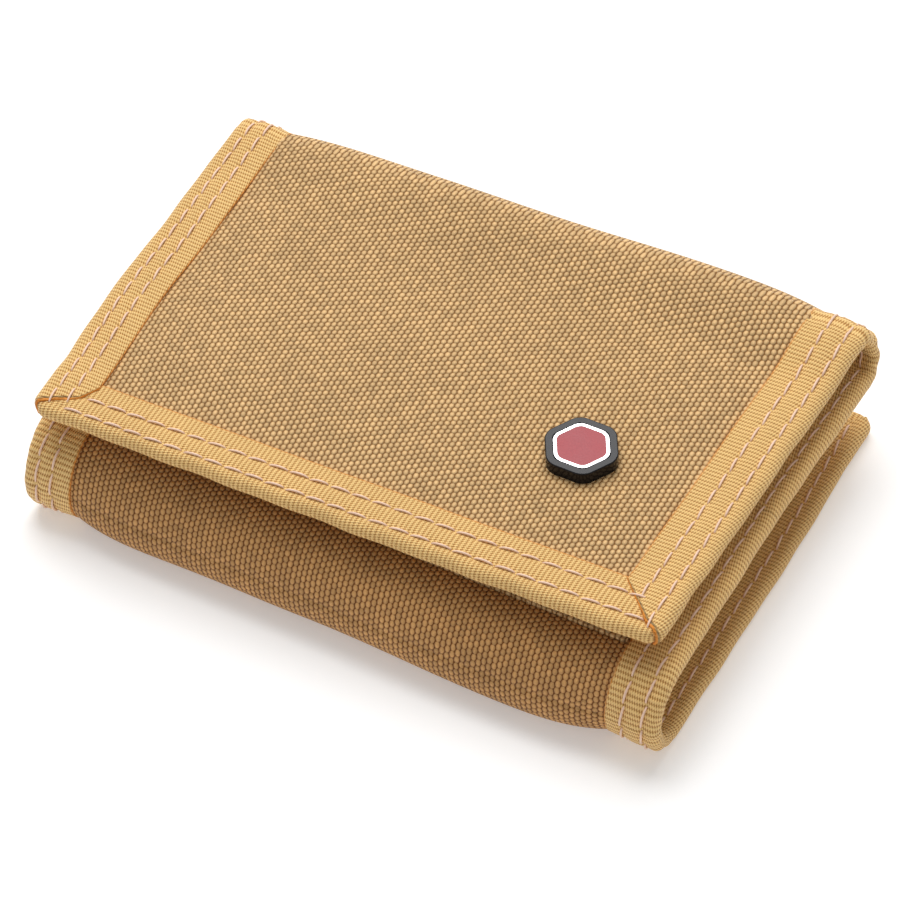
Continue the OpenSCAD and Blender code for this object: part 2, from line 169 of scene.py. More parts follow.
@dataclass(frozen=True)
class Strip:
    """The centreline that all soft pieces follow, in millimetres."""

    back_y: float
    front_arc_y: float
    back_arc_y: float
    flap_front_y: float
    front_arc_z: float
    front_r: float
    back_r: float
    cover_z: float
    half_w: float

    # Where the long edges lie, and how far the right one is behind the left one, at nine knots:
    # the ends and the middles of the panels. The flap's free edge is set back by the last value.
    LEFT_EDGE = (-60.0, -60.0, -59.2, -59.4, -60.3, -62.1, -62.2, -61.0, -58.4)
    RIGHT_EDGE = (60.2, 61.0, 60.8, 60.8, 60.5, 61.2, 59.2, 58.4, 57.6)
    SKEW = (0.3, 0.0, -0.85, -0.85, -0.2, 0.5, 0.5, 0.35, 0.7)
    SETBACK = (0.0, 0.0, 0.0, 0.0, 0.0, 0.0, 0.0, 0.0, 0.5)
    # The free corners are rounded off over this length and width.
    CORNER = (3.0, 3.2)
    # What would lie under the floor is pressed up to this share of its depth.
    FLOOR_SHARE = 0.12
    # The cloth swells between the tapes, this far out from the middle.
    SWELL_REACH = 51.0

    @classmethod
    def from_frame(cls) -> "Strip":
        """Reads the strip's sizes from the CAD frame.

        Returns:
            The strip whose panels and folds lie where the frame's do.
        """
        pocket_low, pocket_high = box_mm("slip_pocket")
        cover_low, cover_high = box_mm("cover_binding")
        bottom_high = box_mm("bottom_binding")[1]
        front_out = pocket_low.y - box_mm("front_fold_binding")[0].y
        back_out = box_mm("back_fold_binding")[1].y - pocket_high.y
        return cls(
            back_y=bottom_high.y,
            front_arc_y=pocket_low.y,
            back_arc_y=pocket_high.y,
            flap_front_y=cover_low.y,
            front_arc_z=front_out,
            front_r=front_out - HALF_EDGE,
            back_r=back_out - HALF_EDGE,
            cover_z=cover_high.z - HALF_EDGE,
            half_w=cover_high.x,
        )

    @property
    def middle_z(self) -> float:
        """Height of the middle panel's centreline."""
        return self.front_arc_z + self.front_r

    @property
    def back_arc_z(self) -> float:
        """Height of the back fold's centre."""
        return self.middle_z + self.back_r

    @property
    def marks(self) -> tuple[float, float, float, float, float]:
        """Lengths along the strip at which its five stretches end."""
        one = self.back_y - self.front_arc_y
        two = one + math.pi * self.front_r
        three = two + self.back_arc_y - self.front_arc_y
        four = three + math.pi * self.back_r
        return one, two, three, four, four + self.back_arc_y - self.flap_front_y

    def s_bottom(self, y: float) -> float:
        """Length along the strip of a place on the bottom panel."""
        return self.back_y - y

    def s_middle(self, y: float) -> float:
        """Length along the strip of a place on the middle panel."""
        return self.marks[1] + y - self.front_arc_y

    def s_cover(self, y: float) -> float:
        """Length along the strip of a place on the cover flap."""
        return self.marks[3] + self.back_arc_y - y

    def _ease(self, s: Array, values: Sequence[float]) -> Array:
        """Values at the strip's knots, eased between them."""
        one, two, three, four, five = self.marks
        middles = 0.45 * one, 0.5 * (two + three), 0.5 * (four + five)
        knots = (0.0, middles[0], one, two, middles[1], three, four, middles[2], five)
        result = np.full_like(s, values[0])
        for k in range(1, len(knots)):
            step = smooth((s - knots[k - 1]) / (knots[k] - knots[k - 1]))
            result = result + (values[k] - values[k - 1]) * step
        return result

    def place(self, x: Array, s: Array, n: Array) -> Array:
        """Puts strip places into the frame.

        Args:
            x: Place across the strip, with its edges at plus and minus half_w.
            s: Length along the strip from the bottom panel's free edge.
            n: Height above the centreline, towards the cover flap's outside.

        Returns:
            Points in metres, one row each.
        """
        x, s, n = (np.asarray(a, float).ravel() for a in np.broadcast_arrays(x, s, n))
        one, two, three, four, five = self.marks
        n = n + self.bow(x, s)
        along, across = self.CORNER
        tip = nearness(s, along, 2) - nearness(five - s, along, 2)
        tip = tip * nearness(self.half_w - np.abs(x), across, 2)
        x = x - np.sign(x) * np.abs(tip)
        s = s + tip
        a = np.clip((s - one) / self.front_r, 0.0, math.pi)
        b = np.clip((s - three) / self.back_r, 0.0, math.pi)
        y = np.select(
            [s < one, s < two, s < three, s < four],
            [
                self.back_y - s,
                self.front_arc_y - (self.front_r - n) * np.sin(a),
                self.front_arc_y + s - two,
                self.back_arc_y + (self.back_r + n) * np.sin(b),
            ],
            self.back_arc_y - (s - four),
        )
        z = np.select(
            [s < one, s < two, s < three, s < four],
            [
                self.front_arc_z - self.front_r + n,
                self.front_arc_z - (self.front_r - n) * np.cos(a),
                self.middle_z - n,
                self.back_arc_z - (self.back_r + n) * np.cos(b),
            ],
            self.cover_z + n,
        )
        left, right = self._ease(s, self.LEFT_EDGE), self._ease(s, self.RIGHT_EDGE)
        share = x / self.half_w
        x = 0.5 * (left + right) + 0.5 * (right - left) * share
        y = y + self._ease(s, self.SETBACK) + self._ease(s, self.SKEW) * share
        z = np.maximum(z, self.FLOOR_SHARE * z)
        return np.stack([x, y, z], -1) * MM

    def bow(self, x: Array, s: Array) -> Array:
        """How far the whole strip bows out of its nominal folds, in millimetres of n."""
        one, _, three, four, _ = self.marks
        back = rise(s, three - 4.0, 7.0) * fall(s, four + 14.0, 13.0)
        flat_ends = 1.0 - 0.75 * np.clip(np.abs(x) / 60.5, 0.0, 1.0) ** 5
        amount = (1.05 + 1.4 * rise(x, -15.0, 60.0)) * flat_ends
        turn = (s - one) / self.front_r
        pressed_ends = 1.5 * fall(x, -15.0, 45.0) + 0.35 * rise(x, 10.0, 30.0)
        return back * amount - hump(turn, 0.9, 0.75) * pressed_ends

    def swell(self, x: Array, s: Array, face: Face) -> Array:
        """How far the cloth stands proud of the flat panel, in millimetres."""
        one, two, three, _, five = self.marks
        out = np.clip(np.abs(x) / self.SWELL_REACH, 0.0, 1.0)
        broad = 0.10 * np.sin(x / 13.0 + s / 29.0) * np.cos(x / 31.0 - s / 11.0)
        wave = broad + 0.05 * np.sin(x / 5.3 + s / 7.7)
        if face is Face.UPPER:
            crown = 0.95 * rise(s, three, 8.0) * fall(s, five - 9.2, 13.0)
            return (1.0 - out ** 6) * (crown + wave * rise(s, three, 6.0))
        fold = rise(s, one - 6.0, 9.0) * fall(s, two + 4.0, 9.0)
        turn = (s - one) / self.front_r
        belly = (2.25 + 0.7 * rise(x, -5.0, 40.0)) * hump(turn, 0.95, 0.8) * (1.0 - out ** 7)
        return (1.0 - out ** 3) * fold * (0.45 + 1.6 * wave) + belly


STRIP = Strip.from_frame()


@dataclass(frozen=True)
class Zone:
    """A stretch of the strip that lies between two bodies."""

    name: str
    start: float
    end: float
    bodies: tuple[str, str]
    window: tuple[tuple[float, float], tuple[float, float]]

    def bend(self, piece: bpy.types.Object) -> None:
        """Bakes a piece's placement into its mesh; no bend between the two bodies is set up."""
        (y0, z0), (y1, z1) = self.window
        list(self.bodies)
        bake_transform(piece)


def make_zones(strip: Strip) -> list[Zone]:
    """The four zones, each from a panel to the middle of a fold.

    Args:
        strip: The centreline.

    Returns:
        The zones in order along the strip.
    """
    one, two, three, four, five = strip.marks
    fy, fz = strip.front_arc_y, strip.front_arc_z
    by, bz = strip.back_arc_y, strip.back_arc_z
    half_front, half_middle, half_back = (one + two) / 2, (two + three) / 2, (three + four) / 2
    # A bend starts and ends at these distances from the fold's centre: (outwards, up or down).
    front_panel, front_crest = (1.5, 7.25), (6.6, 2.15)
    back_panel, back_crest = (1.5, 3.5), (3.1, 1.9)

    def front(at: tuple[float, float], up: int) -> tuple[float, float]:
        """A place in front of the front fold's centre."""
        return fy - at[0], fz + up * at[1]

    def back(at: tuple[float, float], up: int) -> tuple[float, float]:
        """A place behind the back fold's centre."""
        return by + at[0], bz + up * at[1]

    return [
        Zone("bottom", 0.0, half_front, ("base_panel", "front_spine"),
             (front(front_panel, -1), front(front_crest, -1))),
        Zone("middle_front", half_front, half_middle, ("front_spine", "middle_panel"),
             (front(front_crest, 1), front(front_panel, 1))),
        Zone("middle_back", half_middle, half_back, ("middle_panel", "back_spine"),
             (back(back_panel, -1), back(back_crest, -1))),
        Zone("cover", half_back, five, ("back_spine", "cover_flap"),
             (back(back_crest, 1), back(back_panel, 1))),
    ]


# ---------------------------------------------------------------- node helper and finishes


class Nodes:
    """A short way to write a material's node tree."""

    def __init__(self, name: str) -> None:
        """Starts an empty node material.

        Args:
            name: The material's name.
        """
        self.material = bpy.data.materials.new(name)
        self.material.use_nodes = True
        self.tree = self.material.node_tree
        self.tree.nodes.clear()
        self.output = self.tree.nodes.new("ShaderNodeOutputMaterial")
        self.shader = self.tree.nodes.new("ShaderNodeBsdfPrincipled")
        self.tree.links.new(self.shader.outputs[0], self.output.inputs[0])

    def link(self, source: object, target: object) -> None:
        """Joins a socket to a socket, or sets a socket's value."""
        if isinstance(source, bpy.types.NodeSocket):
            self.tree.links.new(source, target)
        elif isinstance(source,
                        (tuple, list)) and len(source) == 3 and len(target.default_value) == 4:
            target.default_value = (*source, 1.0)
        else:
            target.default_value = source

    def math(self, operation: str, *values: object) -> bpy.types.NodeSocket:
        """A Math node's result."""
        node = self.tree.nodes.new("ShaderNodeMath")
        node.operation = operation
        for k, value in enumerate(values):
            self.link(value, node.inputs[k])
        return node.outputs[0]

    def ramp(self, value: object, low: float, high: float) -> bpy.types.NodeSocket:
        """A value mapped from low..high to 0..1, smoothly."""
        node = self.tree.nodes.new("ShaderNodeMapRange")
        node.interpolation_type = "SMOOTHSTEP"
        self.link(value, node.inputs["Value"])
        self.link(low, node.inputs["From Min"])
        self.link(high, node.inputs["From Max"])
        return node.outputs[0]

    def mix(self, share: object, a: object, b: object) -> bpy.types.NodeSocket:
        """Two colours mixed by a share."""
        node = self.tree.nodes.new("ShaderNodeMix")
        node.data_type = "RGBA"
        self.link(share, node.inputs[0])
        self.link(a, node.inputs[6])
        self.link(b, node.inputs[7])
        return node.outputs[2]

    def noise(self, vector: object, scale: float, detail: float = 2.0) -> bpy.types.NodeSocket:
        """A noise texture's value."""
        node = self.tree.nodes.new("ShaderNodeTexNoise")
        self.link(vector, node.inputs["Vector"])
        node.inputs["Scale"].default_value = scale
        node.inputs["Detail"].default_value = detail
        return node.outputs[0]

    def uv(self) -> tuple[bpy.types.NodeSocket, bpy.types.NodeSocket, bpy.types.NodeSocket]:
        """The piece's own map in millimetres: u, v and the whole vector."""
        node = self.tree.nodes.new("ShaderNodeTexCoord")
        split = self.tree.nodes.new("ShaderNodeSeparateXYZ")
        self.link(node.outputs["UV"], split.inputs[0])
        return split.outputs[0], split.outputs[1], node.outputs["UV"]

    def scale(self, color: object, factor: object) -> bpy.types.NodeSocket:
        """A colour times a factor."""
        node = self.tree.nodes.new("ShaderNodeVectorMath")
        node.operation = "SCALE"
        self.link(color, node.inputs[0])
        self.link(factor, node.inputs["Scale"])
        return node.outputs[0]

    def speckle(self, column: object, row: object) -> bpy.types.NodeSocket:
        """A random value for each cell of a lattice."""
        node = self.tree.nodes.new("ShaderNodeTexWhiteNoise")
        node.noise_dimensions = "2D"
        cell = self.tree.nodes.new("ShaderNodeCombineXYZ")
        self.link(column, cell.inputs[0])
        self.link(row, cell.inputs[1])
        self.link(cell.outputs[0], node.inputs[0])
        return node.outputs[0]

    def square(self, value: object) -> bpy.types.NodeSocket:
        """A value times itself."""
        return self.math("MULTIPLY", value, value)

    def constants(self, **values: object) -> None:
        """Sets shader inputs, named as they are with underscores for spaces."""
        for name, value in values.items():
            self.shader.inputs[name.replace("_", " ")].default_value = value

    def object_space(self) -> bpy.types.NodeSocket:
        """The piece's own place in metres."""
        return self.tree.nodes.new("ShaderNodeTexCoord").outputs["Object"]

    def wave(self, value: object, pitch: float, phase: object = 0.0) -> bpy.types.NodeSocket:
        """A cosine from 0 to 1 with its crests one pitch apart."""
        turned = self.math("MULTIPLY_ADD", value, 2 * math.pi / pitch, phase)
        return self.math("MULTIPLY_ADD", self.math("COSINE", turned), 0.5, 0.5)

    def bump(self, height: object, depth_mm: float, under: object = None) -> bpy.types.NodeSocket:
        """A normal raised by a height of that depth."""
        node = self.tree.nodes.new("ShaderNodeBump")
        node.inputs["Strength"].default_value = 1.0
        node.inputs["Distance"].default_value = depth_mm * MM
        self.link(height, node.inputs["Height"])
        if under is not None:
            self.link(under, node.inputs["Normal"])
        return node.outputs[0]


@dataclass(frozen=True)
class WovenFinish:
    """Coarse nylon: a lattice of plump crossings, lighter on top, with painted shade in the hollows
    between them.
    """

    name: str
    top: Color
    shaded_valley: Color
    column: float = 0.945
    step: float = 1.13
    depth_mm: float = 0.40
    lean: float = 0.045
    gap_across: float = 0.92
    gap_along: float = 0.78
    fibre: float = 0.16
    roughness: float = 0.55
    sheen: float = 0.02

    def build(self) -> bpy.types.Material:
        """Makes the material.

        Returns:
            The finished material.
        """
        n = Nodes(self.name)
        u, v, whole = n.uv()
        wander = n.noise(whole, 0.35, 1.0)
        drift = n.noise(whole, 0.11, 1.0)
        u = n.math("SUBTRACT", n.math("MULTIPLY_ADD", wander, 0.30, u),
                   n.math("MULTIPLY", v, self.lean))
        v = n.math("MULTIPLY_ADD", drift, 0.9, v)
        column = n.math("MULTIPLY", u, 1 / self.column)
        column_cell = n.math("ROUND", column)
        across = n.math("SUBTRACT", column, column_cell)
        row = n.math("MULTIPLY_ADD", column_cell, -0.5, n.math("MULTIPLY", v, 1 / self.step))
        row_cell = n.math("ROUND", row)
        along = n.math("SUBTRACT", row, row_cell)
        dip = n.math("ADD", n.math("MULTIPLY", n.square(across), 4 * self.gap_across),
                     n.math("MULTIPLY", n.square(along), 4 * self.gap_along))
        dome = n.math("MAXIMUM", n.math("SUBTRACT", 1.0, dip), 0.0)
        grain = n.noise(whole, 6.5, 2.0)
        mottle = n.noise(whole, 0.045, 3.0)
        # Lower in each dome the colour runs to the darker valley colour: painted shade in the
        # hollows between crossings.
        share = n.ramp(n.math("MULTIPLY_ADD", grain, 0.30, n.math("SQRT", dome)), 0.22, 0.98)
        dim = n.math("MULTIPLY_ADD", n.speckle(column_cell, row_cell), 0.24, 0.80)
        dim = n.math("MULTIPLY", dim, n.math("MULTIPLY_ADD", mottle, 0.26, 0.86))
        n.link(n.scale(n.mix(share, self.shaded_valley, self.top), dim), n.shader.inputs["Base Color"])
        fibres = n.wave(n.math("ADD", u, n.math("MULTIPLY", grain, 0.10)), self.fibre)
        relief = n.math("MULTIPLY_ADD", fibres, 0.05, n.math("MULTIPLY_ADD", grain, 0.16, dome))
        n.link(n.bump(relief, self.depth_mm), n.shader.inputs["Normal"])
        n.constants(Roughness=self.roughness, Sheen_Weight=self.sheen, Sheen_Roughness=0.4,
                    Specular_IOR_Level=0.26)
        return n.material


@dataclass(frozen=True)
class RibbedFinish:
    """Grosgrain tape: ribs across its length, each a row of small beads, with painted shade in the
    grooves.
    """

    name: str
    top: Color
    shaded_valley: Color
    # Saturated orange at the leaf ends and cut ends: partly the tape's own edge colour, partly
    # painted shade for the gaps and ends in shadow.
    edge: Color = (0.82, 0.29, 0.035)
    rib: float = 0.82
    bead: float = 0.43
    depth_mm: float = 0.20
    leaf_end: float = 0.55

    def build(self) -> bpy.types.Material:
        """Makes the material.

        Returns:
            The finished material.
        """
        n = Nodes(self.name)
        u, v, whole = n.uv()
        wander = n.noise(whole, 0.5, 2.0)
        u = n.math("MULTIPLY_ADD", wander, 0.22, u)
        rib = n.wave(u, self.rib)
        odd = n.math("MULTIPLY", n.math("FLOOR", n.math("MULTIPLY", u, 2 / self.rib)), math.pi / 2)
        bead = n.wave(v, self.bead, odd)
        height = n.math("MULTIPLY_ADD", bead, 0.50, n.math("MULTIPLY", rib, 0.50))
        grain = n.noise(whole, 5.0, 3.0)
        mottle = n.noise(whole, 0.07, 3.0)
        share = n.ramp(n.math("MULTIPLY_ADD", grain, 0.30, height), 0.10, 0.95)
        # The grooves between ribs and beads take the darker valley colour: painted shade.
        base = n.mix(share, self.shaded_valley, self.top)
        # Near the leaf ends the tape runs to the orange edge colour, partly its own edge colour and
        # partly painted shade of the gaps beside the leaves.
        rim = n.ramp(n.math("MULTIPLY_ADD", grain, 0.3, v), self.leaf_end, 0.0)
        base = n.mix(rim, base, self.edge)
        dim = n.math("MULTIPLY_ADD", mottle, 0.20, 0.90)
        n.link(n.scale(base, dim), n.shader.inputs["Base Color"])
        relief = n.math("MULTIPLY_ADD", grain, 0.15, height)
        n.link(n.bump(relief, self.depth_mm), n.shader.inputs["Normal"])
        n.constants(Roughness=0.52, Sheen_Weight=0.06, Sheen_Roughness=0.4, Specular_IOR_Level=0.28)
        return n.material


@dataclass(frozen=True)
class GrainFinish:
    """A solid colour with a fine grain: thread, foam, board, plastic, lacquer or metal."""

    name: str
    color: Color
    second: Color
    grain_scale: float = 2500.0
    depth_mm: float = 0.03
    roughness: float = 0.5
    metallic: float = 0.0
    coat: float = 0.0
    alpha: float = 1.0
    specular: float = 0.5

    def build(self) -> bpy.types.Material:
        """Makes the material.

        Returns:
            The finished material.
        """
        n = Nodes(self.name)
        place = n.object_space()
        fine = n.noise(place, self.grain_scale, 3.0)
        broad = n.noise(place, self.grain_scale / 12, 2.0)
        share = n.ramp(n.math("MULTIPLY_ADD", fine, 0.6, n.math("MULTIPLY", broad, 0.4)), 0.3, 0.7)
        n.link(n.mix(share, self.second, self.color), n.shader.inputs["Base Color"])
        n.link(n.bump(fine, self.depth_mm), n.shader.inputs["Normal"])
        n.link(n.math("MULTIPLY_ADD", broad, 0.16, self.roughness - 0.08),
               n.shader.inputs["Roughness"])
        n.constants(Metallic=self.metallic, Coat_Weight=self.coat, Coat_Roughness=0.05,
                    Alpha=self.alpha, Specular_IOR_Level=self.specular)
        return n.material


@dataclass(frozen=True)
class Palette:
    """Every finish of the wallet, made once."""

    nylon: bpy.types.Material
    nylon_fold: bpy.types.Material
    lining: bpy.types.Material
    tape: bpy.types.Material
    thread: bpy.types.Material
    foam: bpy.types.Material
    board: bpy.types.Material
    black: bpy.types.Material
    silver: bpy.types.Material
    enamel: bpy.types.Material
    steel: bpy.types.Material
    hooks: bpy.types.Material
    loops: bpy.types.Material
    film: bpy.types.Material
    zip_tape: bpy.types.Material
    coil: bpy.types.Material
    lacquer: bpy.types.Material

    @classmethod
    def build(cls) -> "Palette":
        """Makes all the finishes.

        Returns:
            The palette of finished materials.
        """
        return cls(
            nylon=WovenFinish("nylon_weave", (0.87, 0.565, 0.262), (0.29, 0.115, 0.018)).build(),
            # A darker, browner copy of the nylon with a finer step: painted shade for the under
            # faces, the front fold above all, in place of their lower light.
            nylon_fold=WovenFinish("nylon_weave_painted_shade", (0.75, 0.40, 0.142), (0.20, 0.058, 0.004),
                                   step=0.84).build(),
            lining=WovenFinish("lining_weave", (0.62, 0.40, 0.19), (0.26, 0.15, 0.06), 0.42, 0.46,
                               0.06).build(),
            tape=RibbedFinish("binding_grosgrain", (1.0, 0.68, 0.275),
                              (0.42, 0.155, 0.014)).build(),
            thread=GrainFinish("pink_beige_thread", (0.95, 0.68, 0.52), (0.86, 0.58, 0.42), 4200,
                               0.03, 0.5).build(),
            foam=GrainFinish("pale_foam", (0.72, 0.71, 0.68), (0.60, 0.59, 0.56), 1800, 0.08,
                             0.9).build(),
            board=GrainFinish("stiffener_plastic", (0.62, 0.62, 0.60), (0.55, 0.55, 0.53), 700,
                              0.02, 0.5).build(),
            black=GrainFinish("black_gloss", (0.006, 0.006, 0.008), (0.010, 0.010, 0.012), 500,
                              0.002, 0.12,
                              specular=0.22).build(),
            silver=GrainFinish("bright_plate", (0.86, 0.86, 0.87), (0.76, 0.76, 0.77), 900, 0.004,
                               0.16, 1.0).build(),
            enamel=GrainFinish("muted_red_enamel", (0.42, 0.060, 0.072), (0.36, 0.048, 0.060), 3000,
                               0.02, 0.42,
                               specular=0.35).build(),
            steel=GrainFinish("plain_steel", (0.55, 0.55, 0.56), (0.44, 0.44, 0.45), 1500, 0.01,
                              0.32, 1.0).build(),
            hooks=GrainFinish("hook_plastic", (0.42, 0.27, 0.11), (0.32, 0.20, 0.08), 3000, 0.02,
                              0.45).build(),
            loops=GrainFinish("loop_pile", (0.50, 0.33, 0.15), (0.33, 0.21, 0.09), 2600, 0.35,
                              0.9).build(),
            film=GrainFinish("clear_vinyl", (0.86, 0.89, 0.90), (0.82, 0.85, 0.87), 120, 0.01, 0.12,
                             alpha=0.28).build(),
            zip_tape=WovenFinish("zip_tape_twill", (0.46, 0.29, 0.12), (0.20, 0.12, 0.05), 0.34,
                                 0.5, 0.05).build(),
            coil=GrainFinish("coil_nylon", (0.34, 0.21, 0.085), (0.26, 0.16, 0.065), 2600, 0.02,
                             0.38).build(),
            lacquer=GrainFinish("black_lacquer", (0.020, 0.020, 0.023), (0.030, 0.030, 0.033), 1800,
                                0.01, 0.3,
                                coat=0.3).build(),
        )


# ---------------------------------------------------------------- mesh helpers


def make_mesh(name: str, points: Array, faces: Sequence[Sequence[int]], uvs: Optional[Array],
              material: bpy.types.Material) -> bpy.types.Object:
    """Makes a mesh object from points and faces.

    Args:
        name: The piece's name.
        points: Points in metres, one row each.
        faces: Corner indices of each face.
        uvs: One map place for each point, in millimetres, or None for a piece without a map.
        material: The finish.

    Returns:
        The new object, at the origin.
    """
    mesh = bpy.data.meshes.new(name)
    mesh.from_pydata(points.tolist(), [], [list(map(int, f)) for f in faces])
    mesh.update()
    if uvs is not None:
        layer = mesh.uv_layers.new(name="mm")
        corner = np.zeros(len(mesh.loops), np.int32)
        mesh.loops.foreach_get("vertex_index", corner)
        layer.data.foreach_set("uv", uvs[corner].astype(np.float32).ravel())
    mesh.polygons.foreach_set("use_smooth", [True] * len(mesh.polygons))
    piece = bpy.data.objects.new(name, mesh)
    bpy.context.scene.collection.objects.link(piece)
    mesh.materials.append(material)
    return piece


def grid_faces(rows: int, columns: int, flip: bool = False) -> list[tuple[int, int, int, int]]:
    """Four-cornered faces of a grid whose points are listed row by row."""
    faces = []
    for r in range(rows - 1):
        for c in range(columns - 1):
            k = r * columns + c
            quad = (k, k + 1, k + columns + 1, k + columns)
            faces.append(quad[::-1] if flip else quad)
    return faces


def tube_faces(rings: int, sides: int, first: int) -> list[tuple[int, ...]]:
    """Faces of a closed tube whose points are listed ring by ring, from a first index."""
    faces = []
    for r in range(rings - 1):
        k = first + r * sides
        for c in range(sides):
            d = (c + 1) % sides
            faces.append((k + c, k + d, k + sides + d, k + sides + c))
    last = first + (rings - 1) * sides
    return faces + [tuple(range(first, first + sides))[::-1], tuple(range(last, last + sides))]


def uv_rows(u: Array, v: Array) -> Array:
    """Map places, one row each, from two grids."""
    return np.stack([u.ravel(), v.ravel()], -1)


def activate(piece: bpy.types.Object) -> None:
    """Selects one object alone and makes it the active one."""
    for other in bpy.context.view_layer.objects:
        other.select_set(False)
    piece.select_set(True)
    bpy.context.view_layer.objects.active = piece


def apply_all(piece: bpy.types.Object) -> None:
    """Applies every modifier of a piece."""
    activate(piece)
    for modifier in list(piece.modifiers):
        bpy.ops.object.modifier_apply(modifier=modifier.name)


def thicken(piece: bpy.types.Object, thickness: float) -> None:
    """Gives a sheet its thickness, below the face that shows."""
    modifier = piece.modifiers.new("thickness", "SOLIDIFY")
    modifier.thickness = thickness * MM
    modifier.offset = -1.0
    modifier.use_even_offset = False
    apply_all(piece)


def bevel(piece: bpy.types.Object, width: float, segments: int = 3, angle: float = 40.0) -> None:
    """Rounds a piece's edges and keeps its flats flat."""
    activate(piece)
    bpy.ops.object.shade_smooth_by_angle(angle=math.radians(35))
    modifier = piece.modifiers.new("edges", "BEVEL")
    modifier.width = width * MM
    modifier.segments = segments
    modifier.limit_method = "ANGLE"
    modifier.angle_limit = math.radians(angle)
    modifier.harden_normals = True
    apply_all(piece)


def settle(piece: bpy.types.Object, name: str, material: bpy.types.Material) -> bpy.types.Object:
    """Names and dresses a modelled piece, and moves its place into its mesh."""
    activate(piece)
    bpy.ops.object.transform_apply(location=True, rotation=True, scale=True)
    piece.name = name
    piece.data.name = name
    piece.data.materials.clear()
    piece.data.materials.append(material)
    return piece


def add_block(low: Sequence[float], high: Sequence[float]) -> bpy.types.Object:
    """A block between two corners in millimetres, at its real size."""
    bpy.ops.object.select_all(action="DESELECT")
    centre = [0.5 * (a + b) * MM for a, b in zip(low, high)]
    bpy.ops.mesh.primitive_cube_add(size=1.0, location=centre)
    block = bpy.context.object
    block.scale = [(b - a) * MM for a, b in zip(low, high)]
    bpy.ops.object.transform_apply(location=True, rotation=True, scale=True)
    return block


def add_rod(centre: Sequence[float], radius: float, length: float, axis: str,
            sides: int = 20) -> bpy.types.Object:
    """A rod about a point in millimetres, along one axis."""
    bpy.ops.object.select_all(action="DESELECT")
    turn = {"X": (0, math.pi / 2, 0), "Y": (math.pi / 2, 0, 0), "Z": (0, 0, 0)}[axis]
    bpy.ops.mesh.primitive_cylinder_add(vertices=sides, radius=radius * MM, depth=length * MM,
                                        location=[c * MM for c in centre], rotation=turn)
    rod = bpy.context.object
    bpy.ops.object.transform_apply(location=True, rotation=True, scale=True)
    return rod


def face_outwards(piece: bpy.types.Object) -> None:
    """Turns every closed shell's faces outwards."""
    activate(piece)
    bpy.ops.object.mode_set(mode="EDIT")
    bpy.ops.mesh.select_all(action="SELECT")
    bpy.ops.mesh.normals_make_consistent(inside=False)
    bpy.ops.object.mode_set(mode="OBJECT")


def round_uprights(piece: bpy.types.Object, radius: float, segments: int) -> None:
    """Rounds a plate's upright edges."""
    activate(piece)
    bpy.ops.object.mode_set(mode="EDIT")
    bpy.ops.mesh.select_mode(type="EDGE")
    bpy.ops.mesh.select_all(action="DESELECT")
    bpy.ops.object.mode_set(mode="OBJECT")
    for edge in piece.data.edges:
        a, b = (piece.data.vertices[k].co for k in edge.vertices)
        edge.select = abs(a.z - b.z) > 0.9 * piece.dimensions.z
    bpy.ops.object.mode_set(mode="EDIT")
    bpy.ops.mesh.bevel(offset=radius * MM, segments=segments, affect="EDGES")
    bpy.ops.object.mode_set(mode="OBJECT")


def join(pieces: Sequence[bpy.types.Object]) -> bpy.types.Object:
    """Joins objects into the first of them."""
    bpy.ops.object.select_all(action="DESELECT")
    for piece in pieces:
        piece.select_set(True)
    bpy.context.view_layer.objects.active = pieces[0]
    if len(pieces) > 1:
        bpy.ops.object.join()
    return bpy.context.view_layer.objects.active


def bool_cut(piece: bpy.types.Object, cutter: bpy.types.Object) -> None:
    """Cuts one solid out of another and removes the cutter."""
    modifier = piece.modifiers.new("cut", "BOOLEAN")
    modifier.operation = "DIFFERENCE"
    modifier.solver = "EXACT"
    modifier.object = cutter
    apply_all(piece)
    bpy.data.objects.remove(cutter)


# ---------------------------------------------------------------- cloth


@dataclass
class ClothSheet:
    """One face cloth of one zone of the strip."""

    zone: Zone
    face: Face
    half_width: float = 59.0
    pitch: float = 1.1
    thickness: float = 0.5
    inset: float = 0.7

    def build(self, name: str, palette: Palette, replaced: Sequence[str]) -> bpy.types.Object:
        """Lays the cloth out over its zone and dresses it.

        Args:
            name: The piece's name.
            palette: The finishes.
            replaced: CAD nodes that this cloth stands for.

        Returns:
            The finished piece.
        """
        length = self.zone.end - self.zone.start
        start = self.zone.start + (self.inset if self.zone.name == "bottom" else 0.0)
        end = self.zone.end - (self.inset if self.zone.name == "cover" else 0.0)
        rows = int(length / self.pitch) + 1
        columns = int(2 * self.half_width / self.pitch) + 1
        s, x = np.meshgrid(np.linspace(start, end, rows),
                           np.linspace(-self.half_width, self.half_width, columns),
                           indexing="ij")
        n = self.face.value * (CLOTH_N + STRIP.swell(x, s, self.face))
        points = STRIP.place(x, s, n)
        uvs = uv_rows(x, s * self.face.value)
        # Under faces outside the cover get the darker copy of the nylon: painted shade.
        takes_painted_shade = self.face is Face.UNDER and self.zone.name != "cover"
        cloth = palette.nylon_fold if takes_painted_shade else palette.nylon
        piece = make_mesh(name, points, grid_faces(rows, columns, self.face is Face.UPPER), uvs,
                          cloth)
        thicken(piece, self.thickness)
        self.zone.bend(piece)
        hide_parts(*replaced)
        return piece


# ---------------------------------------------------------------- binding tape


def corner_lift(zone: str, s: Array) -> Array:
    """How far the side tape rises over the end tape that it crosses, in millimetres."""
    if zone == "cover":
        return CROSSING_LIFT * rise(s, STRIP.marks[4] - CROSSING, 5.0)
    if zone == "bottom":
        return CROSSING_LIFT * fall(s, CROSSING, 5.0)
    return np.zeros_like(s)


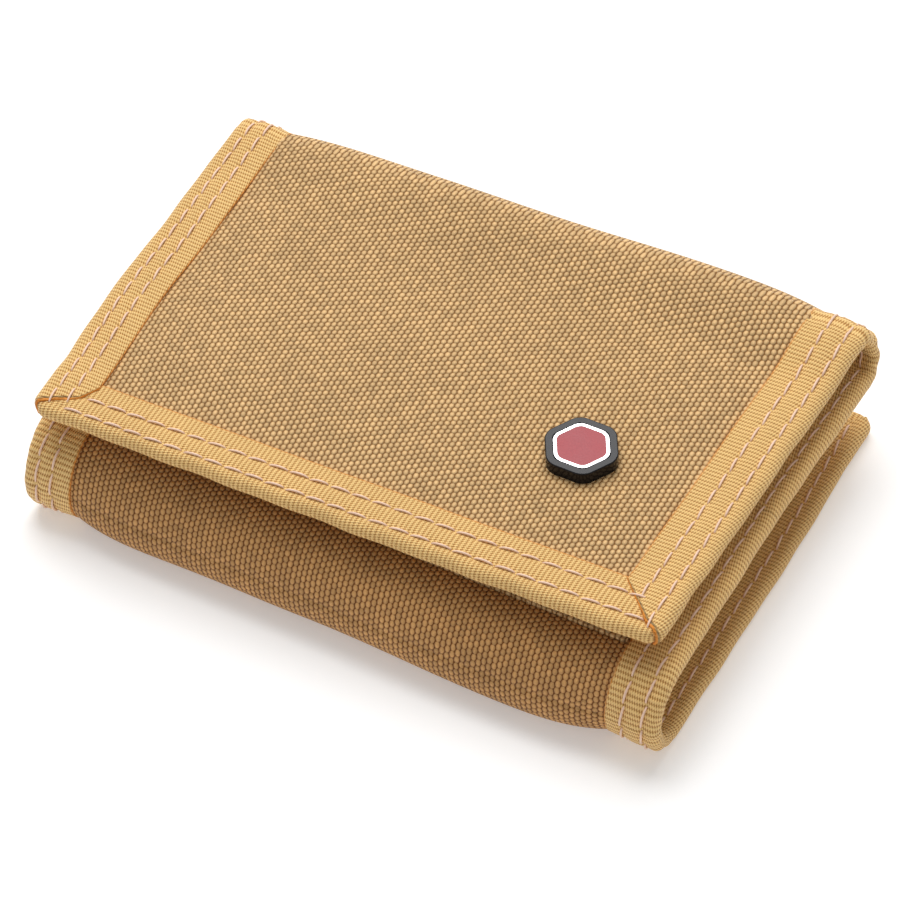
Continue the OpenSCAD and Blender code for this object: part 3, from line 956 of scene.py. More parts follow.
def gather(x: Array, s: Array) -> Array:
    """Puckers of the side tape where the strip turns back on itself, in millimetres of n."""
    one, two, three, four, _ = STRIP.marks
    v = STRIP.half_w - np.abs(x)
    back = rise(s, three - 1.0, 2.0) * fall(s, four + 1.0, 2.0)
    front = rise(s, one, 3.0) * fall(s, two, 3.0)
    deep = np.where(x > 0, 0.34, 0.14) * (0.35 + 0.65 * fall(v, 6.0, 6.0))
    wave = np.sin(2.45 * s) + 0.5 * np.sin(1.35 * s + 1.0)
    return deep * wave * (back + 0.45 * front)


def row_dent(across: Array, along: Array, rows: Sequence[Array | float]) -> Array:
    """How deep the stitch rows pull the tape in, in millimetres."""
    dent = np.zeros_like(across)
    for k, row in enumerate(rows):
        phase = (along + ROW_SHIFT * k) % STITCH_PITCH
        hole = hump(np.minimum(phase, STITCH_PITCH - phase), 0.0, 0.42)
        dent += hump(across, row, 0.62) * (0.13 + 0.24 * hole)
    return dent


@dataclass
class TapeSection:
    """The U that the binding tape makes around an edge."""

    width: float = TAPE_WIDTH
    radius: float = HALF_EDGE
    pitch: float = 0.48

    def profile(self) -> tuple[Array, Array, Array]:
        """The U from one leaf round the edge to the other.

        Returns:
            The distance in from the edge, the height share from -1 to 1, and the length along
            the U.
        """
        leaf = self.width - self.radius
        turn = math.pi * self.radius
        count = int((2 * leaf + turn) / self.pitch)
        t = np.linspace(0.0, 2 * leaf + turn, count)
        angle = np.clip((t - leaf) / self.radius, 0.0, math.pi)
        v = np.where(t < leaf, self.width - t, self.radius - self.radius * np.sin(angle))
        v = np.where(t > leaf + turn, self.radius + t - leaf - turn, v)
        return v, np.cos(angle), t

    def widened(self, v: Array, leaf: Array) -> Array:
        """Distances in from the edge, with the flat of each leaf stretched to another width."""
        flat = self.radius + (v - self.radius) * (leaf - self.radius) / (self.width - self.radius)
        return np.where(v > self.radius, flat, v)

    @staticmethod
    def plump(v: Array, rows: Sequence[Array | float], press: float, reach: float) -> Array:
        """How far a leaf stands up between its stitch rows, less its press inside of them."""
        outer, inner = rows
        between = np.sin(np.clip((v - outer) / (inner - outer), 0.0, 1.0) * math.pi)
        return 0.10 * between - press * smooth((v - inner) / reach)


@dataclass
class SideTape:
    """The binding tape on one long edge of one zone."""

    zone: Zone
    side: Side
    section: TapeSection = field(default_factory=TapeSection)
    rim: float = 0.8

    # Distance in from the edge, and how far short of the free edge the cut end lies there.
    COVER_ENDS = {
        Side.LEFT: ((0.0, 0.8, 1.5, 7.2, 9.6), (0.1, 0.7, 1.3, 4.2, 8.2)),
        Side.RIGHT: ((0.0, 0.8, 1.5, 3.2, 7.6, 10.6), (0.1, 0.8, 1.6, 2.4, 6.8, 9.8)),
    }
    BOTTOM_ENDS = (0.0, 0.8, 1.5, 8.6, 9.6), (0.1, 0.8, 1.6, 9.1, 9.9)

    def ends(self, v: Array) -> Array:
        """Where this tape's cut end lies on the cover flap, by distance in from the edge."""
        return STRIP.marks[4] - np.interp(v, *self.COVER_ENDS[self.side])

    def build(self, name: str, palette: Palette, replaced: Sequence[str]) -> bpy.types.Object:
        """Lays the tape along its edge and dresses it.

        Args:
            name: The piece's name.
            palette: The finishes.
            replaced: CAD nodes that this tape stands for.

        Returns:
            The finished piece.
        """
        v, height, t = self.section.profile()
        length = self.zone.end - self.zone.start
        rows = np.linspace(self.zone.start, self.zone.end, int(length / TAPE_PITCH) + 1)
        s, v = lattice(rows, v)
        v = self.section.widened(v, self.side.leaf(s))
        to_end = np.full_like(s, MITRE)
        if self.zone.name == "cover":
            last = STRIP.marks[4]
            to_end = last - s
            s = self._slide(s, last - MITRE, self.ends(v))
        if self.zone.name == "bottom":
            s = self._slide(s, MITRE, np.interp(v, *self.BOTTOM_ENDS), reverse=True)
        lift = corner_lift(self.zone.name, s)
        n = height * (HALF_EDGE + lift + np.abs(height) * self._relief(v, s))
        v = np.where(v < HALF_EDGE, v - lift * (1 - v / HALF_EDGE), v)
        puff = 0.05 * np.sin(s / 1.85) + 0.05 * np.sin(s / 3.1 + 1.0)
        v = v - puff * smooth((HALF_EDGE - v) / HALF_EDGE)
        x = self.side.value * (STRIP.half_w - v)
        points = STRIP.place(x, s, n + gather(x, s))
        rim = np.minimum(t, t.max() - t) + np.zeros_like(s)
        # Near the cut end the map runs down to the leaf-end value, so the shadowed cut end takes
        # the orange edge colour: partly painted shade.
        rim = np.where(to_end < self.rim, np.minimum(rim, to_end * self.rim - self.rim / 2), rim)
        faces = grid_faces(*s.shape, self.side is Side.RIGHT)
        piece = make_mesh(name, points, faces, uv_rows(s, rim), palette.tape)
        thicken(piece, TAPE_THICKNESS)
        self.zone.bend(piece)
        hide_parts(*replaced)
        return piece

    def _relief(self, v: Array, s: Array) -> Array:
        """How far the leaf stands proud of the edge's flat face."""
        _, _, three, four, _ = STRIP.marks
        inner = self.side.rows[1]
        plump = self.section.plump(v, self.side.rows, 0.14, 3.2)
        ripple = 0.06 * np.sin(s / 4.1 + 2 * self.side.value) * smooth(v / 3)
        fold_press = 0.34 * rise(v, inner, 3.0) * rise(s, three, 4.0) * fall(s, four + 8.0, 8.0)
        return plump + ripple - fold_press - row_dent(v, s, self.side.rows)

    @staticmethod
    def _slide(s: Array, keep: float, target: Array, reverse: bool = False) -> Array:
        """Stretches the last rows of a tape to its slanted end."""
        last = 0.0 if reverse else s.max()
        share = np.clip((s - keep) / (last - keep), 0.0, 1.0)
        return np.where(share > 0.0, keep + share * (target - keep), s)


@dataclass
class EndTape:
    """The binding tape on the free edge of the cover flap or of the bottom panel."""

    zone: Zone
    left: tuple[float, float, float]
    right: tuple[float, float, float]

    def across(self, x: Array, which: int) -> Array:
        """Distance in from the edge of the outer row, inner row or leaf end, by x."""
        share = np.clip((x + 50.0) / 100.0, -0.1, 1.1)
        return self.left[which] + (self.right[which] - self.left[which]) * share

    def build(self, name: str, palette: Palette) -> bpy.types.Object:
        """Lays the tape along the free edge and dresses it.

        Args:
            name: The piece's name.
            palette: The finishes.

        Returns:
            The finished piece.
        """
        section = TapeSection()
        v, height, t = section.profile()
        half = STRIP.half_w - 0.5
        x, v = lattice(np.linspace(-half, half, int(2 * half / TAPE_PITCH)), v)
        closing = np.clip(np.abs(x) - half + 1.6, 0.0, None) / 1.65
        shut = np.sqrt(np.clip(1.0 - closing ** 2, 0.02, 1.0))
        outer, inner, leaf = (self.across(x, k) for k in range(3))
        v = section.widened(v, leaf)
        plump = section.plump(v, (outer, inner), 0.12, 3.0) + 0.06 * np.sin(x / 5.3) * smooth(v / 3)
        dent = row_dent(v, x + END_ROW_START, (outer, inner))
        n = height * (HALF_EDGE * shut + np.abs(height) * (plump - dent) * shut)
        puff = 0.10 * np.sin(x / 1.9) + 0.07 * np.sin(x / 3.3)
        v = v - puff * smooth((HALF_EDGE - v) / HALF_EDGE) + 1.2 * (1.0 - shut)
        s = STRIP.marks[4] - v if self.zone.name == "cover" else v
        points = STRIP.place(x, s, n)
        uvs = uv_rows(x, np.minimum(t, t.max() - t) + np.zeros_like(x))
        faces = grid_faces(*x.shape, self.zone.name == "bottom")
        piece = make_mesh(name, points, faces, uvs, palette.tape)
        thicken(piece, TAPE_THICKNESS)
        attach(piece, self.zone.bodies[1] if self.zone.name == "cover" else self.zone.bodies[0])
        return piece


# ---------------------------------------------------------------- stitching


@dataclass
class StitchRun:
    """A straight row of separate stitches on one face."""

    start: tuple[float, float]
    end: tuple[float, float]
    level: float
    sign: int
    offset: float = 0.0
    slant: float = -0.13
    zone: str = ""
    thread_radius: float = 0.215
    rings: int = 9
    sides: int = 6

    def stitches(self, rng: np.random.Generator) -> list[tuple[Array, Array, Array]]:
        """The rings of each stitch, in strip places.

        Args:
            rng: Seeded source of the small differences between stitches.

        Returns:
            For each stitch its x, s and n, with one row for each ring of points.
        """
        a, b = np.array(self.start), np.array(self.end)
        length = float(np.linalg.norm(b - a))
        along = (b - a) / length
        side = np.array([-along[1], along[0]])
        angles = np.linspace(0.0, 2 * math.pi, self.sides + 1)[:-1]
        share = np.linspace(0.0, 1.0, self.rings)
        arch = np.clip(np.sin(np.pi * share), 0.0, 1.0) ** 0.55
        radius = self.thread_radius * (0.74 + 0.26 * arch[:, None])
        made = []
        place = self.offset % STITCH_PITCH
        while place + STITCH_LENGTH - 0.05 < length:
            size = STITCH_LENGTH + rng.normal(0.0, 0.08)
            slant = self.slant + rng.normal(0.0, 0.05)
            run = place + share * size
            cross = slant * (share * 2 - 1) + rng.normal(0.0, 0.03)
            x, s = ((a[k] + along[k] * run + side[k] * cross)[:, None]
                    + side[k] * radius * np.cos(angles) for k in range(2))
            rise_n = self.level - 0.28 + 0.44 * arch + corner_lift(self.zone, a[1] + along[1] * run)
            n = self.sign * (rise_n[:, None] + radius * np.sin(angles))
            made.append((x, s, n + gather(x, s) if self.zone else n))
            place += STITCH_PITCH
        return made


def stitch_piece(name: str, runs: Iterable[StitchRun], palette: Palette,
                 seed: int) -> bpy.types.Object:
    """One piece that holds the stitches of several rows.

    Args:
        name: The piece's name.
        runs: The rows.
        palette: The finishes.
        seed: Seed of the small differences.

    Returns:
        The piece, not yet on a body.
    """
    rng = np.random.default_rng(seed)
    points, faces, count = [], [], 0
    for run in runs:
        for x, s, n in run.stitches(rng):
            points.append(STRIP.place(x, s, n))
            faces += tube_faces(*x.shape, count)
            count += x.size
    piece = make_mesh(name, np.concatenate(points), faces, None, palette.thread)
    face_outwards(piece)
    return piece


@dataclass
class EdgeStitching:
    """The two rows of stitches along the edges of one zone, on both faces."""

    zone: Zone
    end_tape: Optional[EndTape] = None

    def build(self, name: str, palette: Palette, replaced: Sequence[str],
              seed: int) -> bpy.types.Object:
        """Sews the zone's rows.

        Args:
            name: The piece's name.
            palette: The finishes.
            replaced: CAD nodes that these stitches stand for.
            seed: Seed of the small differences.

        Returns:
            The finished piece.
        """
        runs = []
        for face in Face:
            for side in Side:
                runs += [self._side_row(face, side, k) for k in range(2)]
            if self.end_tape is not None:
                runs += [self._end_row(face, self.end_tape, k) for k in range(2)]
        piece = stitch_piece(name, runs, palette, seed)
        self.zone.bend(piece)
        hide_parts(*replaced)
        return piece

    @staticmethod
    def _offset(place: float, k: int) -> float:
        """How far into row k its first stitch starts, for a row that starts at a place."""
        return STITCH_PITCH - (place + ROW_SHIFT * k) % STITCH_PITCH + 0.25

    def _side_row(self, face: Face, side: Side, k: int) -> StitchRun:
        """The outer (0) or inner (1) row along a long edge, a stitch into the next zone."""
        row = side.rows[k]
        x = side.value * (STRIP.half_w - row)
        start, end = self.zone.start, self.zone.end + STITCH_LENGTH - 0.05
        if self.zone.name == "cover":
            end = float(SideTape(self.zone, side).ends(np.array(row))) + (1.9, 0.6)[k]
        if self.zone.name == "bottom":
            start = (2.0, 6.2)[k]
        return StitchRun((x, start), (x, end), STITCH_LEVEL, face.value, self._offset(start, k),
                         zone=self.zone.name)

    def _end_row(self, face: Face, tape: EndTape, k: int) -> StitchRun:
        """The outer (0) or inner (1) row along a free edge."""
        near, far = 5.4 - STRIP.half_w, STRIP.half_w - (2.0, 5.2)[k]
        start, end = (float(tape.across(np.array(x), k)) for x in (near, far))
        if self.zone.name == "cover":
            start, end = STRIP.marks[4] - start, STRIP.marks[4] - end
        return StitchRun((near, start), (far, end), STITCH_LEVEL, face.value,
                         self._offset(END_ROW_START + near, k))


# ---------------------------------------------------------------- flat inner pieces


@dataclass
class Panel:
    """A flat stretch of the strip that inner pieces are laid on."""

    body: str
    to_s: Callable[[Array | float], Array | float]
    middle_z: float
    up: int

    def place(self, x: Array, y: Array, z: Array) -> Array:
        """Points on the strip, in metres, from frame places in millimetres."""
        return STRIP.place(x, self.to_s(y), (z - self.middle_z) * self.up)

    def sheet(self, name: str, x: tuple[float, float], y: tuple[float, float], z: float,
              faces_up: bool,
              thickness: float, material: bpy.types.Material, slot: str, crown: float = 0.0,
              rests_on: Sequence[str] = (), pitch: float = 1.6,
              along_x: bool = False) -> bpy.types.Object:
        """A flat or slightly crowned sheet on this panel.

        Args:
            name: The piece's name.
            x: Its sides across the wallet, in millimetres.
            y: Its front and back, in millimetres.
            z: Height of the face that shows.
            faces_up: Whether the face that shows looks up at rest.
            thickness: Its thickness.
            material: The finish.
            slot: The record's material slot.
            crown: How far its middle swells.
            rests_on: What it lies on; not used.
            pitch: Distance between its points.
            along_x: Whether its ribs or threads run along x instead of y.

        Returns:
            The finished piece, riding on the panel's body.
        """
        columns = max(int((x[1] - x[0]) / pitch), 6) + 1
        rows = max(int((y[1] - y[0]) / pitch), 6) + 1
        gy, gx = np.meshgrid(np.linspace(*y, rows), np.linspace(*x, columns), indexing="ij")
        share_x = 1.0 - np.abs(2 * (gx - x[0]) / (x[1] - x[0]) - 1.0) ** 4
        share_y = 1.0 - np.abs(2 * (gy - y[0]) / (y[1] - y[0]) - 1.0) ** 4
        sign = 1 if faces_up else -1
        ripple = 0.05 * np.sin(gx / 6.1 + gy / 9.3) * np.cos(gy / 5.7) * (crown > 0)
        gz = z + sign * (crown * share_x * share_y + ripple)
        u, v = (gy, gx) if along_x else (gx, gy)
        if slot == "binding_tape":
            v = np.minimum(v - v.min(), v.max() - v)
        faces = grid_faces(rows, columns, not faces_up)
        piece = make_mesh(name, self.place(gx, gy, gz), faces, uv_rows(u, v), material)
        thicken(piece, thickness)
        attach(piece, self.body)
        if min(x[1] - x[0], y[1] - y[0]) >= LEAST_SHEET:
            list(rests_on)
        return piece

    def line(self, a: tuple[float, float], b: tuple[float, float], z: float,
             faces_up: bool) -> StitchRun:
        """A row of stitches between two places on this panel."""
        sign = self.up if faces_up else -self.up
        level = (z - self.middle_z) * self.up * sign
        return StitchRun((a[0], self.to_s(a[1])), (b[0], self.to_s(b[1])), level, sign)

    def round_line(self, corners: Sequence[tuple[float, float]], z: float,
                   faces_up: bool) -> list[StitchRun]:
        """Rows of stitches from each corner to the next and back to the first."""
        return [self.line(a, b, z, faces_up) for a, b in zip(corners, (*corners[1:], corners[0]))]


def inset_corners(low: Vector, high: Vector, inset: float) -> tuple[tuple[float, float], ...]:
    """The four corners of a rectangle drawn in by an inset, in order round it."""
    (x0, x1), (y0, y1) = ((low[k] + inset, high[k] - inset) for k in range(2))
    return (x0, y0), (x1, y0), (x1, y1), (x0, y1)


def make_panels(strip: Strip) -> dict[str, Panel]:
    """The three flat panels by name."""
    return {
        "bottom": Panel("base_panel", strip.s_bottom, strip.front_arc_z - strip.front_r, 1),
        "middle": Panel("middle_panel", strip.s_middle, strip.middle_z, -1),
        "cover": Panel("cover_flap", strip.s_cover, strip.cover_z, 1),
    }


@dataclass
class Core:
    """The foam and the stiffener boards inside the three panels."""

    panels: dict[str, Panel]
    half_width: float = 55.0
    thickness: float = 0.3

    def build(self, palette: Palette) -> list[bpy.types.Object]:
        """Lays a core in each panel.

        Args:
            palette: The finishes.

        Returns:
            The three pieces.
        """
        wide = (-self.half_width, self.half_width)
        front, back = STRIP.front_arc_y + 1.0, STRIP.back_arc_y - 1.0
        under = {"bottom": "bottom_outer_cloth", "middle": "middle_back_under_cloth",
                 "cover": "cover_outer_cloth"}
        rows = (
            ("bottom", "bottom_board", "bottom_stiffener", (front, STRIP.back_y - 5.0),
             palette.board, "stiffener_board"),
            ("middle", "middle_board", "middle_stiffener", (front, back), palette.board,
             "stiffener_board"),
            ("cover", "cover_foam", "cover_padding", (STRIP.flap_front_y + 5.0, back), palette.foam,
             "foam_padding"),
        )
        made = []
        for key, name, node, depth, material, slot in rows:
            panel = self.panels[key]
            piece = panel.sheet(name, wide, depth, panel.middle_z + self.thickness / 2, True,
                                self.thickness, material,
                                slot, rests_on=[under[key]], pitch=5.0)
            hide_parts(node)
            made.append(piece)
        return made


@dataclass
class Badge:
    """A plain six-sided badge: black base, silver line and red field."""

    lift: float = 0.6

    def _plate(self, across: float, low: float, high: float, centre: Vector, edge: float,
               rim: float = 0.0,
               depth: float = 0.0) -> bpy.types.Object:
        """A six-sided plate with rounded corners, dished inside its rim where it has one."""
        bpy.ops.object.select_all(action="DESELECT")
        bpy.ops.mesh.primitive_cylinder_add(
            vertices=6, radius=across / 2 * MM, depth=(high - low) * MM,
            location=(centre.x * MM, centre.y * MM, 0.5 * (low + high) * MM),
            rotation=(0, 0, math.pi / 2))
        plate = bpy.context.object
        bpy.ops.object.transform_apply(location=True, rotation=True, scale=True)
        round_uprights(plate, 0.11 * across, 6)
        if rim:
            bpy.ops.object.mode_set(mode="EDIT")
            bpy.ops.mesh.select_mode(type="FACE")
            bpy.ops.mesh.select_all(action="DESELECT")
            bpy.ops.object.mode_set(mode="OBJECT")
            for polygon in plate.data.polygons:
                polygon.select = polygon.normal.z > 0.9
            bpy.ops.object.mode_set(mode="EDIT")
            bpy.ops.mesh.inset(thickness=rim * MM, depth=0.0)
            down = {"value": (0.0, 0.0, -depth * MM)}
            bpy.ops.mesh.extrude_region_move(TRANSFORM_OT_translate=down)
            bpy.ops.object.mode_set(mode="OBJECT")
        face_outwards(plate)
        bevel(plate, edge, 3, 50.0)
        return plate

    def build(self, palette: Palette) -> list[bpy.types.Object]:
        """Makes the badge on the cover flap.

        Args:
            palette: The finishes.

        Returns:
            The badge's pieces.
        """
        low, high = box_mm("badge_base")
        frame_low, frame_high = box_mm("badge_frame")
        plate_low, plate_high = box_mm("badge_backing_plate")
        centre = (low + high) / 2
        skin, top = STRIP.cover_z + 0.9, high.z + self.lift
        across, face_across = high.x - low.x + 0.8, frame_high.x - frame_low.x
        base = self._plate(across, skin, top, centre, 0.35, (across - face_across) / 2 - 0.5, 0.45)
        prongs = [add_rod((centre.x + side * 3.0, centre.y, 0.5 * (skin + plate_low.z)), 0.6,
                          skin - plate_low.z + 0.2, "Z", 16) for side in (-1, 1)]
        line = self._plate(face_across + 0.7, top - 0.46, top - 0.02, centre, 0.10, 0.62, 0.14)
        field_plate = self._plate(face_across - 0.55, top - 0.20, top - 0.08, centre, 0.04)
        back = add_rod(((plate_low + plate_high) / 2)[:], 5.2, plate_high.z - plate_low.z, "Z", 48)
        bevel(back, 0.08, 2)
        pieces = []
        for solid, name, material, node, slot in (
                (join([base, *prongs]), "badge_black_base", palette.black, "badge_base",
                 "black_badge"),
                (line, "badge_silver_line", palette.silver, "badge_frame", "silver_badge"),
                (field_plate, "badge_red_field", palette.enamel, "badge_enamel", "red_enamel"),
                (back, "badge_washer", palette.steel, "badge_backing_plate", "backing_steel")):
            piece = settle(solid, name, material)
            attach(piece, "cover_flap")
            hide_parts(node)
            pieces.append(piece)
        return pieces


@dataclass
class Closure:
    """The hook strip under the flap and the loop strip on the middle panel."""

    panels: dict[str, Panel]
    hook_pitch: float = 1.9
    hook_width: float = 0.24
    pile_pitch: float = 0.55

    def build(self, palette: Palette) -> list[bpy.types.Object]:
        """Makes both strips with their stitches.

        Args:
            palette: The finishes.

        Returns:
            The pieces of the closure.
        """
        cover, middle = self.panels["cover"], self.panels["middle"]
        low, high = box_mm("hook_strip")
        base_z = high.z - 0.65
        hooks_base = cover.sheet("hook_tape_base", (low.x, high.x), (low.y, high.y), base_z, False,
                                 0.6, palette.hooks,
                                 "hook_tape", rests_on=["cover_lining_cloth"])
        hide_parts("hook_strip")
        hooks = self._hooks(low, high, base_z, cover, palette)
        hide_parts("hook_strip")
        corners = inset_corners(low, high, 1.3)
        seam = stitch_piece("hook_tape_stitches", cover.round_line(corners, base_z, False), palette,
                            71)
        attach(seam, cover.body)
        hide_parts("hook_strip_stitching")

        low, high = box_mm("loop_strip")
        pile = self._pile(low, high, middle, palette)
        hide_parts("loop_strip")
        runs = middle.round_line(corners, high.z - 0.15, True)
        loop_seam = stitch_piece("loop_tape_stitches", runs, palette, 72)
        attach(loop_seam, middle.body)
        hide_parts("loop_strip_stitching")
        return [hooks_base, hooks, seam, pile, loop_seam]

    def _hooks(self, low: Vector, high: Vector, base_z: float, panel: Panel,
               palette: Palette) -> bpy.types.Object:
        """The field of small bent hooks."""
        points, faces = [], []
        turn = np.radians([0.0, 0.0, 70.0, 160.0])[:, None]
        up = np.array([0.0, 0.55, 0.85, 0.62])[:, None]
        out = np.array([0.0, 0.0, 0.18, 0.42])[:, None]
        half = 0.5 * self.hook_width
        ring_x, ring_y = half * np.array([-1, 1, 1, -1]), half * np.array([-1, -1, 1, 1])
        rows = np.arange(low.y + 2.4, high.y - 2.0, self.hook_pitch * 0.75)
        for row, y in enumerate(rows):
            shift = (row % 2) * self.hook_pitch / 2
            for x in np.arange(low.x + 2.6 + shift, high.x - 2.4, self.hook_pitch):
                hook_y = y + out + ring_y * np.abs(np.cos(turn))
                hook_z = base_z - up - ring_y * np.sin(turn)
                faces += tube_faces(*hook_y.shape, hook_y.size * len(points))
                points.append(panel.place(x + ring_x, hook_y, hook_z))
        piece = make_mesh("hook_field", np.concatenate(points), faces, None, palette.hooks)
        face_outwards(piece)
        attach(piece, panel.body)
        return piece

    def _pile(self, low: Vector, high: Vector, panel: Panel, palette: Palette) -> bpy.types.Object:
        """The loop strip with its uneven brushed face."""
        xs = np.linspace(low.x, high.x, int((high.x - low.x) / self.pile_pitch))
        ys = np.linspace(low.y, high.y, int((high.y - low.y) / self.pile_pitch))
        gy, gx = np.meshgrid(ys, xs, indexing="ij")
        rng = np.random.default_rng(5)
        edge = np.minimum(np.minimum(gx - low.x, high.x - gx), np.minimum(gy - low.y, high.y - gy))
        pile = rng.uniform(-0.22, 0.18, gx.shape) * smooth(edge / 1.2)
        gz = high.z - 0.25 + pile - 0.7 * (1 - smooth(edge / 0.9))
        faces = grid_faces(*gx.shape)
        piece = make_mesh("loop_tape", panel.place(gx, gy, gz), faces, uv_rows(gx, gy),
                          palette.loops)
        thicken(piece, 1.3)
        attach(piece, panel.body)
        return piece


@dataclass
class MiddlePockets:
    """The slip pocket and clear window on top of the middle panel, and the card slots under it."""

    panels: dict[str, Panel]
    slots: int = 3

    def build(self, palette: Palette) -> list[bpy.types.Object]:
        """Makes the pockets with their edges and stitches.

        Args:
            palette: The finishes.

        Returns:
            The pieces.
        """
        panel = self.panels["middle"]
        low, high = box_mm("slip_pocket")
        pocket = panel.sheet("slip_pocket_cloth", (low.x, high.x), (low.y, high.y), high.z, True,
                             0.7, palette.nylon,
                             "nylon_fabric", rests_on=["middle_front_top_cloth"])
        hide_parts("slip_pocket")
        made = [pocket]
        low, high = box_mm("window_film")
        film = panel.sheet("window_film_sheet", (low.x, high.x), (low.y, high.y), high.z, True,
                           0.25, palette.film,
                           "clear_film", rests_on=["slip_pocket_cloth"], pitch=2.5)
        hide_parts("window_film")
        made.append(film)
        made += self._window_frame(panel, palette)
        made += self._card_slots(panel, palette)
        return made

    def _window_frame(self, panel: Panel, palette: Palette) -> list[bpy.types.Object]:
        """Four tapes around the window and their stitches."""
        low, high = box_mm("window_frame")
        w = 6.0
        strips = (
            ("window_tape_front", (low.x, high.x), (low.y, low.y + w), False, 0.0),
            ("window_tape_back", (low.x, high.x), (high.y - w, high.y), False, 0.0),
            ("window_tape_left", (low.x, low.x + w), (low.y, high.y), True, 0.05),
            ("window_tape_right", (high.x - w, high.x), (low.y, high.y), True, 0.05),
        )
        made = []
        for name, x, y, upright, rise in strips:
            piece = panel.sheet(name, x, y, high.z + rise, True, 0.4, palette.tape, "binding_tape",
                                crown=0.12,
                                pitch=1.0, along_x=upright)
            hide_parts("window_frame")
            made.append(piece)
        runs = []
        for inset in (1.4, w - 1.4):
            runs += panel.round_line(inset_corners(low, high, inset), high.z + 0.12, True)
        seam = stitch_piece("window_stitches", runs, palette, 81)
        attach(seam, panel.body)
        made.append(seam)
        return made

    def _card_slots(self, panel: Panel, palette: Palette) -> list[bpy.types.Object]:
        """The overlapping card slots, each with a bound mouth."""
        made, runs = [], []
        for k in range(1, self.slots + 1):
            low, high = box_mm(f"card_slot_{k}")
            cloth = panel.sheet(f"card_slot_{k}_cloth", (low.x, high.x), (low.y, high.y), low.z,
                                False, 0.5,
                                palette.nylon, "nylon_fabric",
                                rests_on=["middle_front_under_cloth"])
            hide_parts(f"card_slot_{k}")
            edge_low, edge_high = box_mm(f"card_slot_{k}_edge")
            tape = self._mouth(f"card_slot_{k}_mouth", edge_low, edge_high, panel, palette)
            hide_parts(f"card_slot_{k}_edge")
            y = edge_low.y + 1.2
            runs.append(panel.line((low.x + 1.4, y), (high.x - 1.4, y), edge_low.z + 0.02, False))
            made += [cloth, tape]
        low, high = box_mm("card_slot_3")
        for x in (low.x + 1.6, high.x - 1.6):
            runs.append(panel.line((x, low.y + 1.0), (x, high.y - 5.0), low.z, False))
        seam = stitch_piece("card_slot_stitches", runs, palette, 82)
        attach(seam, panel.body)
        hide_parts("card_slot_stitching")
        made.append(seam)
        return made

    @staticmethod
    def _mouth(name: str, low: Vector, high: Vector, panel: Panel,
               palette: Palette) -> bpy.types.Object:
        """A tape folded over a slot's mouth."""
        radius = (high.z - low.z) / 2
        leaf = high.y - low.y - radius
        total = 2 * leaf + math.pi * radius
        t = np.linspace(0.0, total, 30)
        angle = np.clip((t - leaf) / radius, 0.0, math.pi)
        y = np.where(t < leaf, low.y + t, high.y - radius + radius * np.sin(angle))
        y = np.where(t > total - leaf, high.y - radius - (t - total + leaf), y)
        z = (low.z + high.z) / 2 - radius * np.cos(angle)
        x = np.linspace(low.x, high.x, 64)
        gx, gy = lattice(x, y)
        uvs = uv_rows(gx, np.minimum(t, total - t) + np.zeros_like(gx))
        piece = make_mesh(name, panel.place(gx, gy, z), grid_faces(*gx.shape), uvs, palette.tape)
        thicken(piece, 0.28)
        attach(piece, panel.body)
        return piece


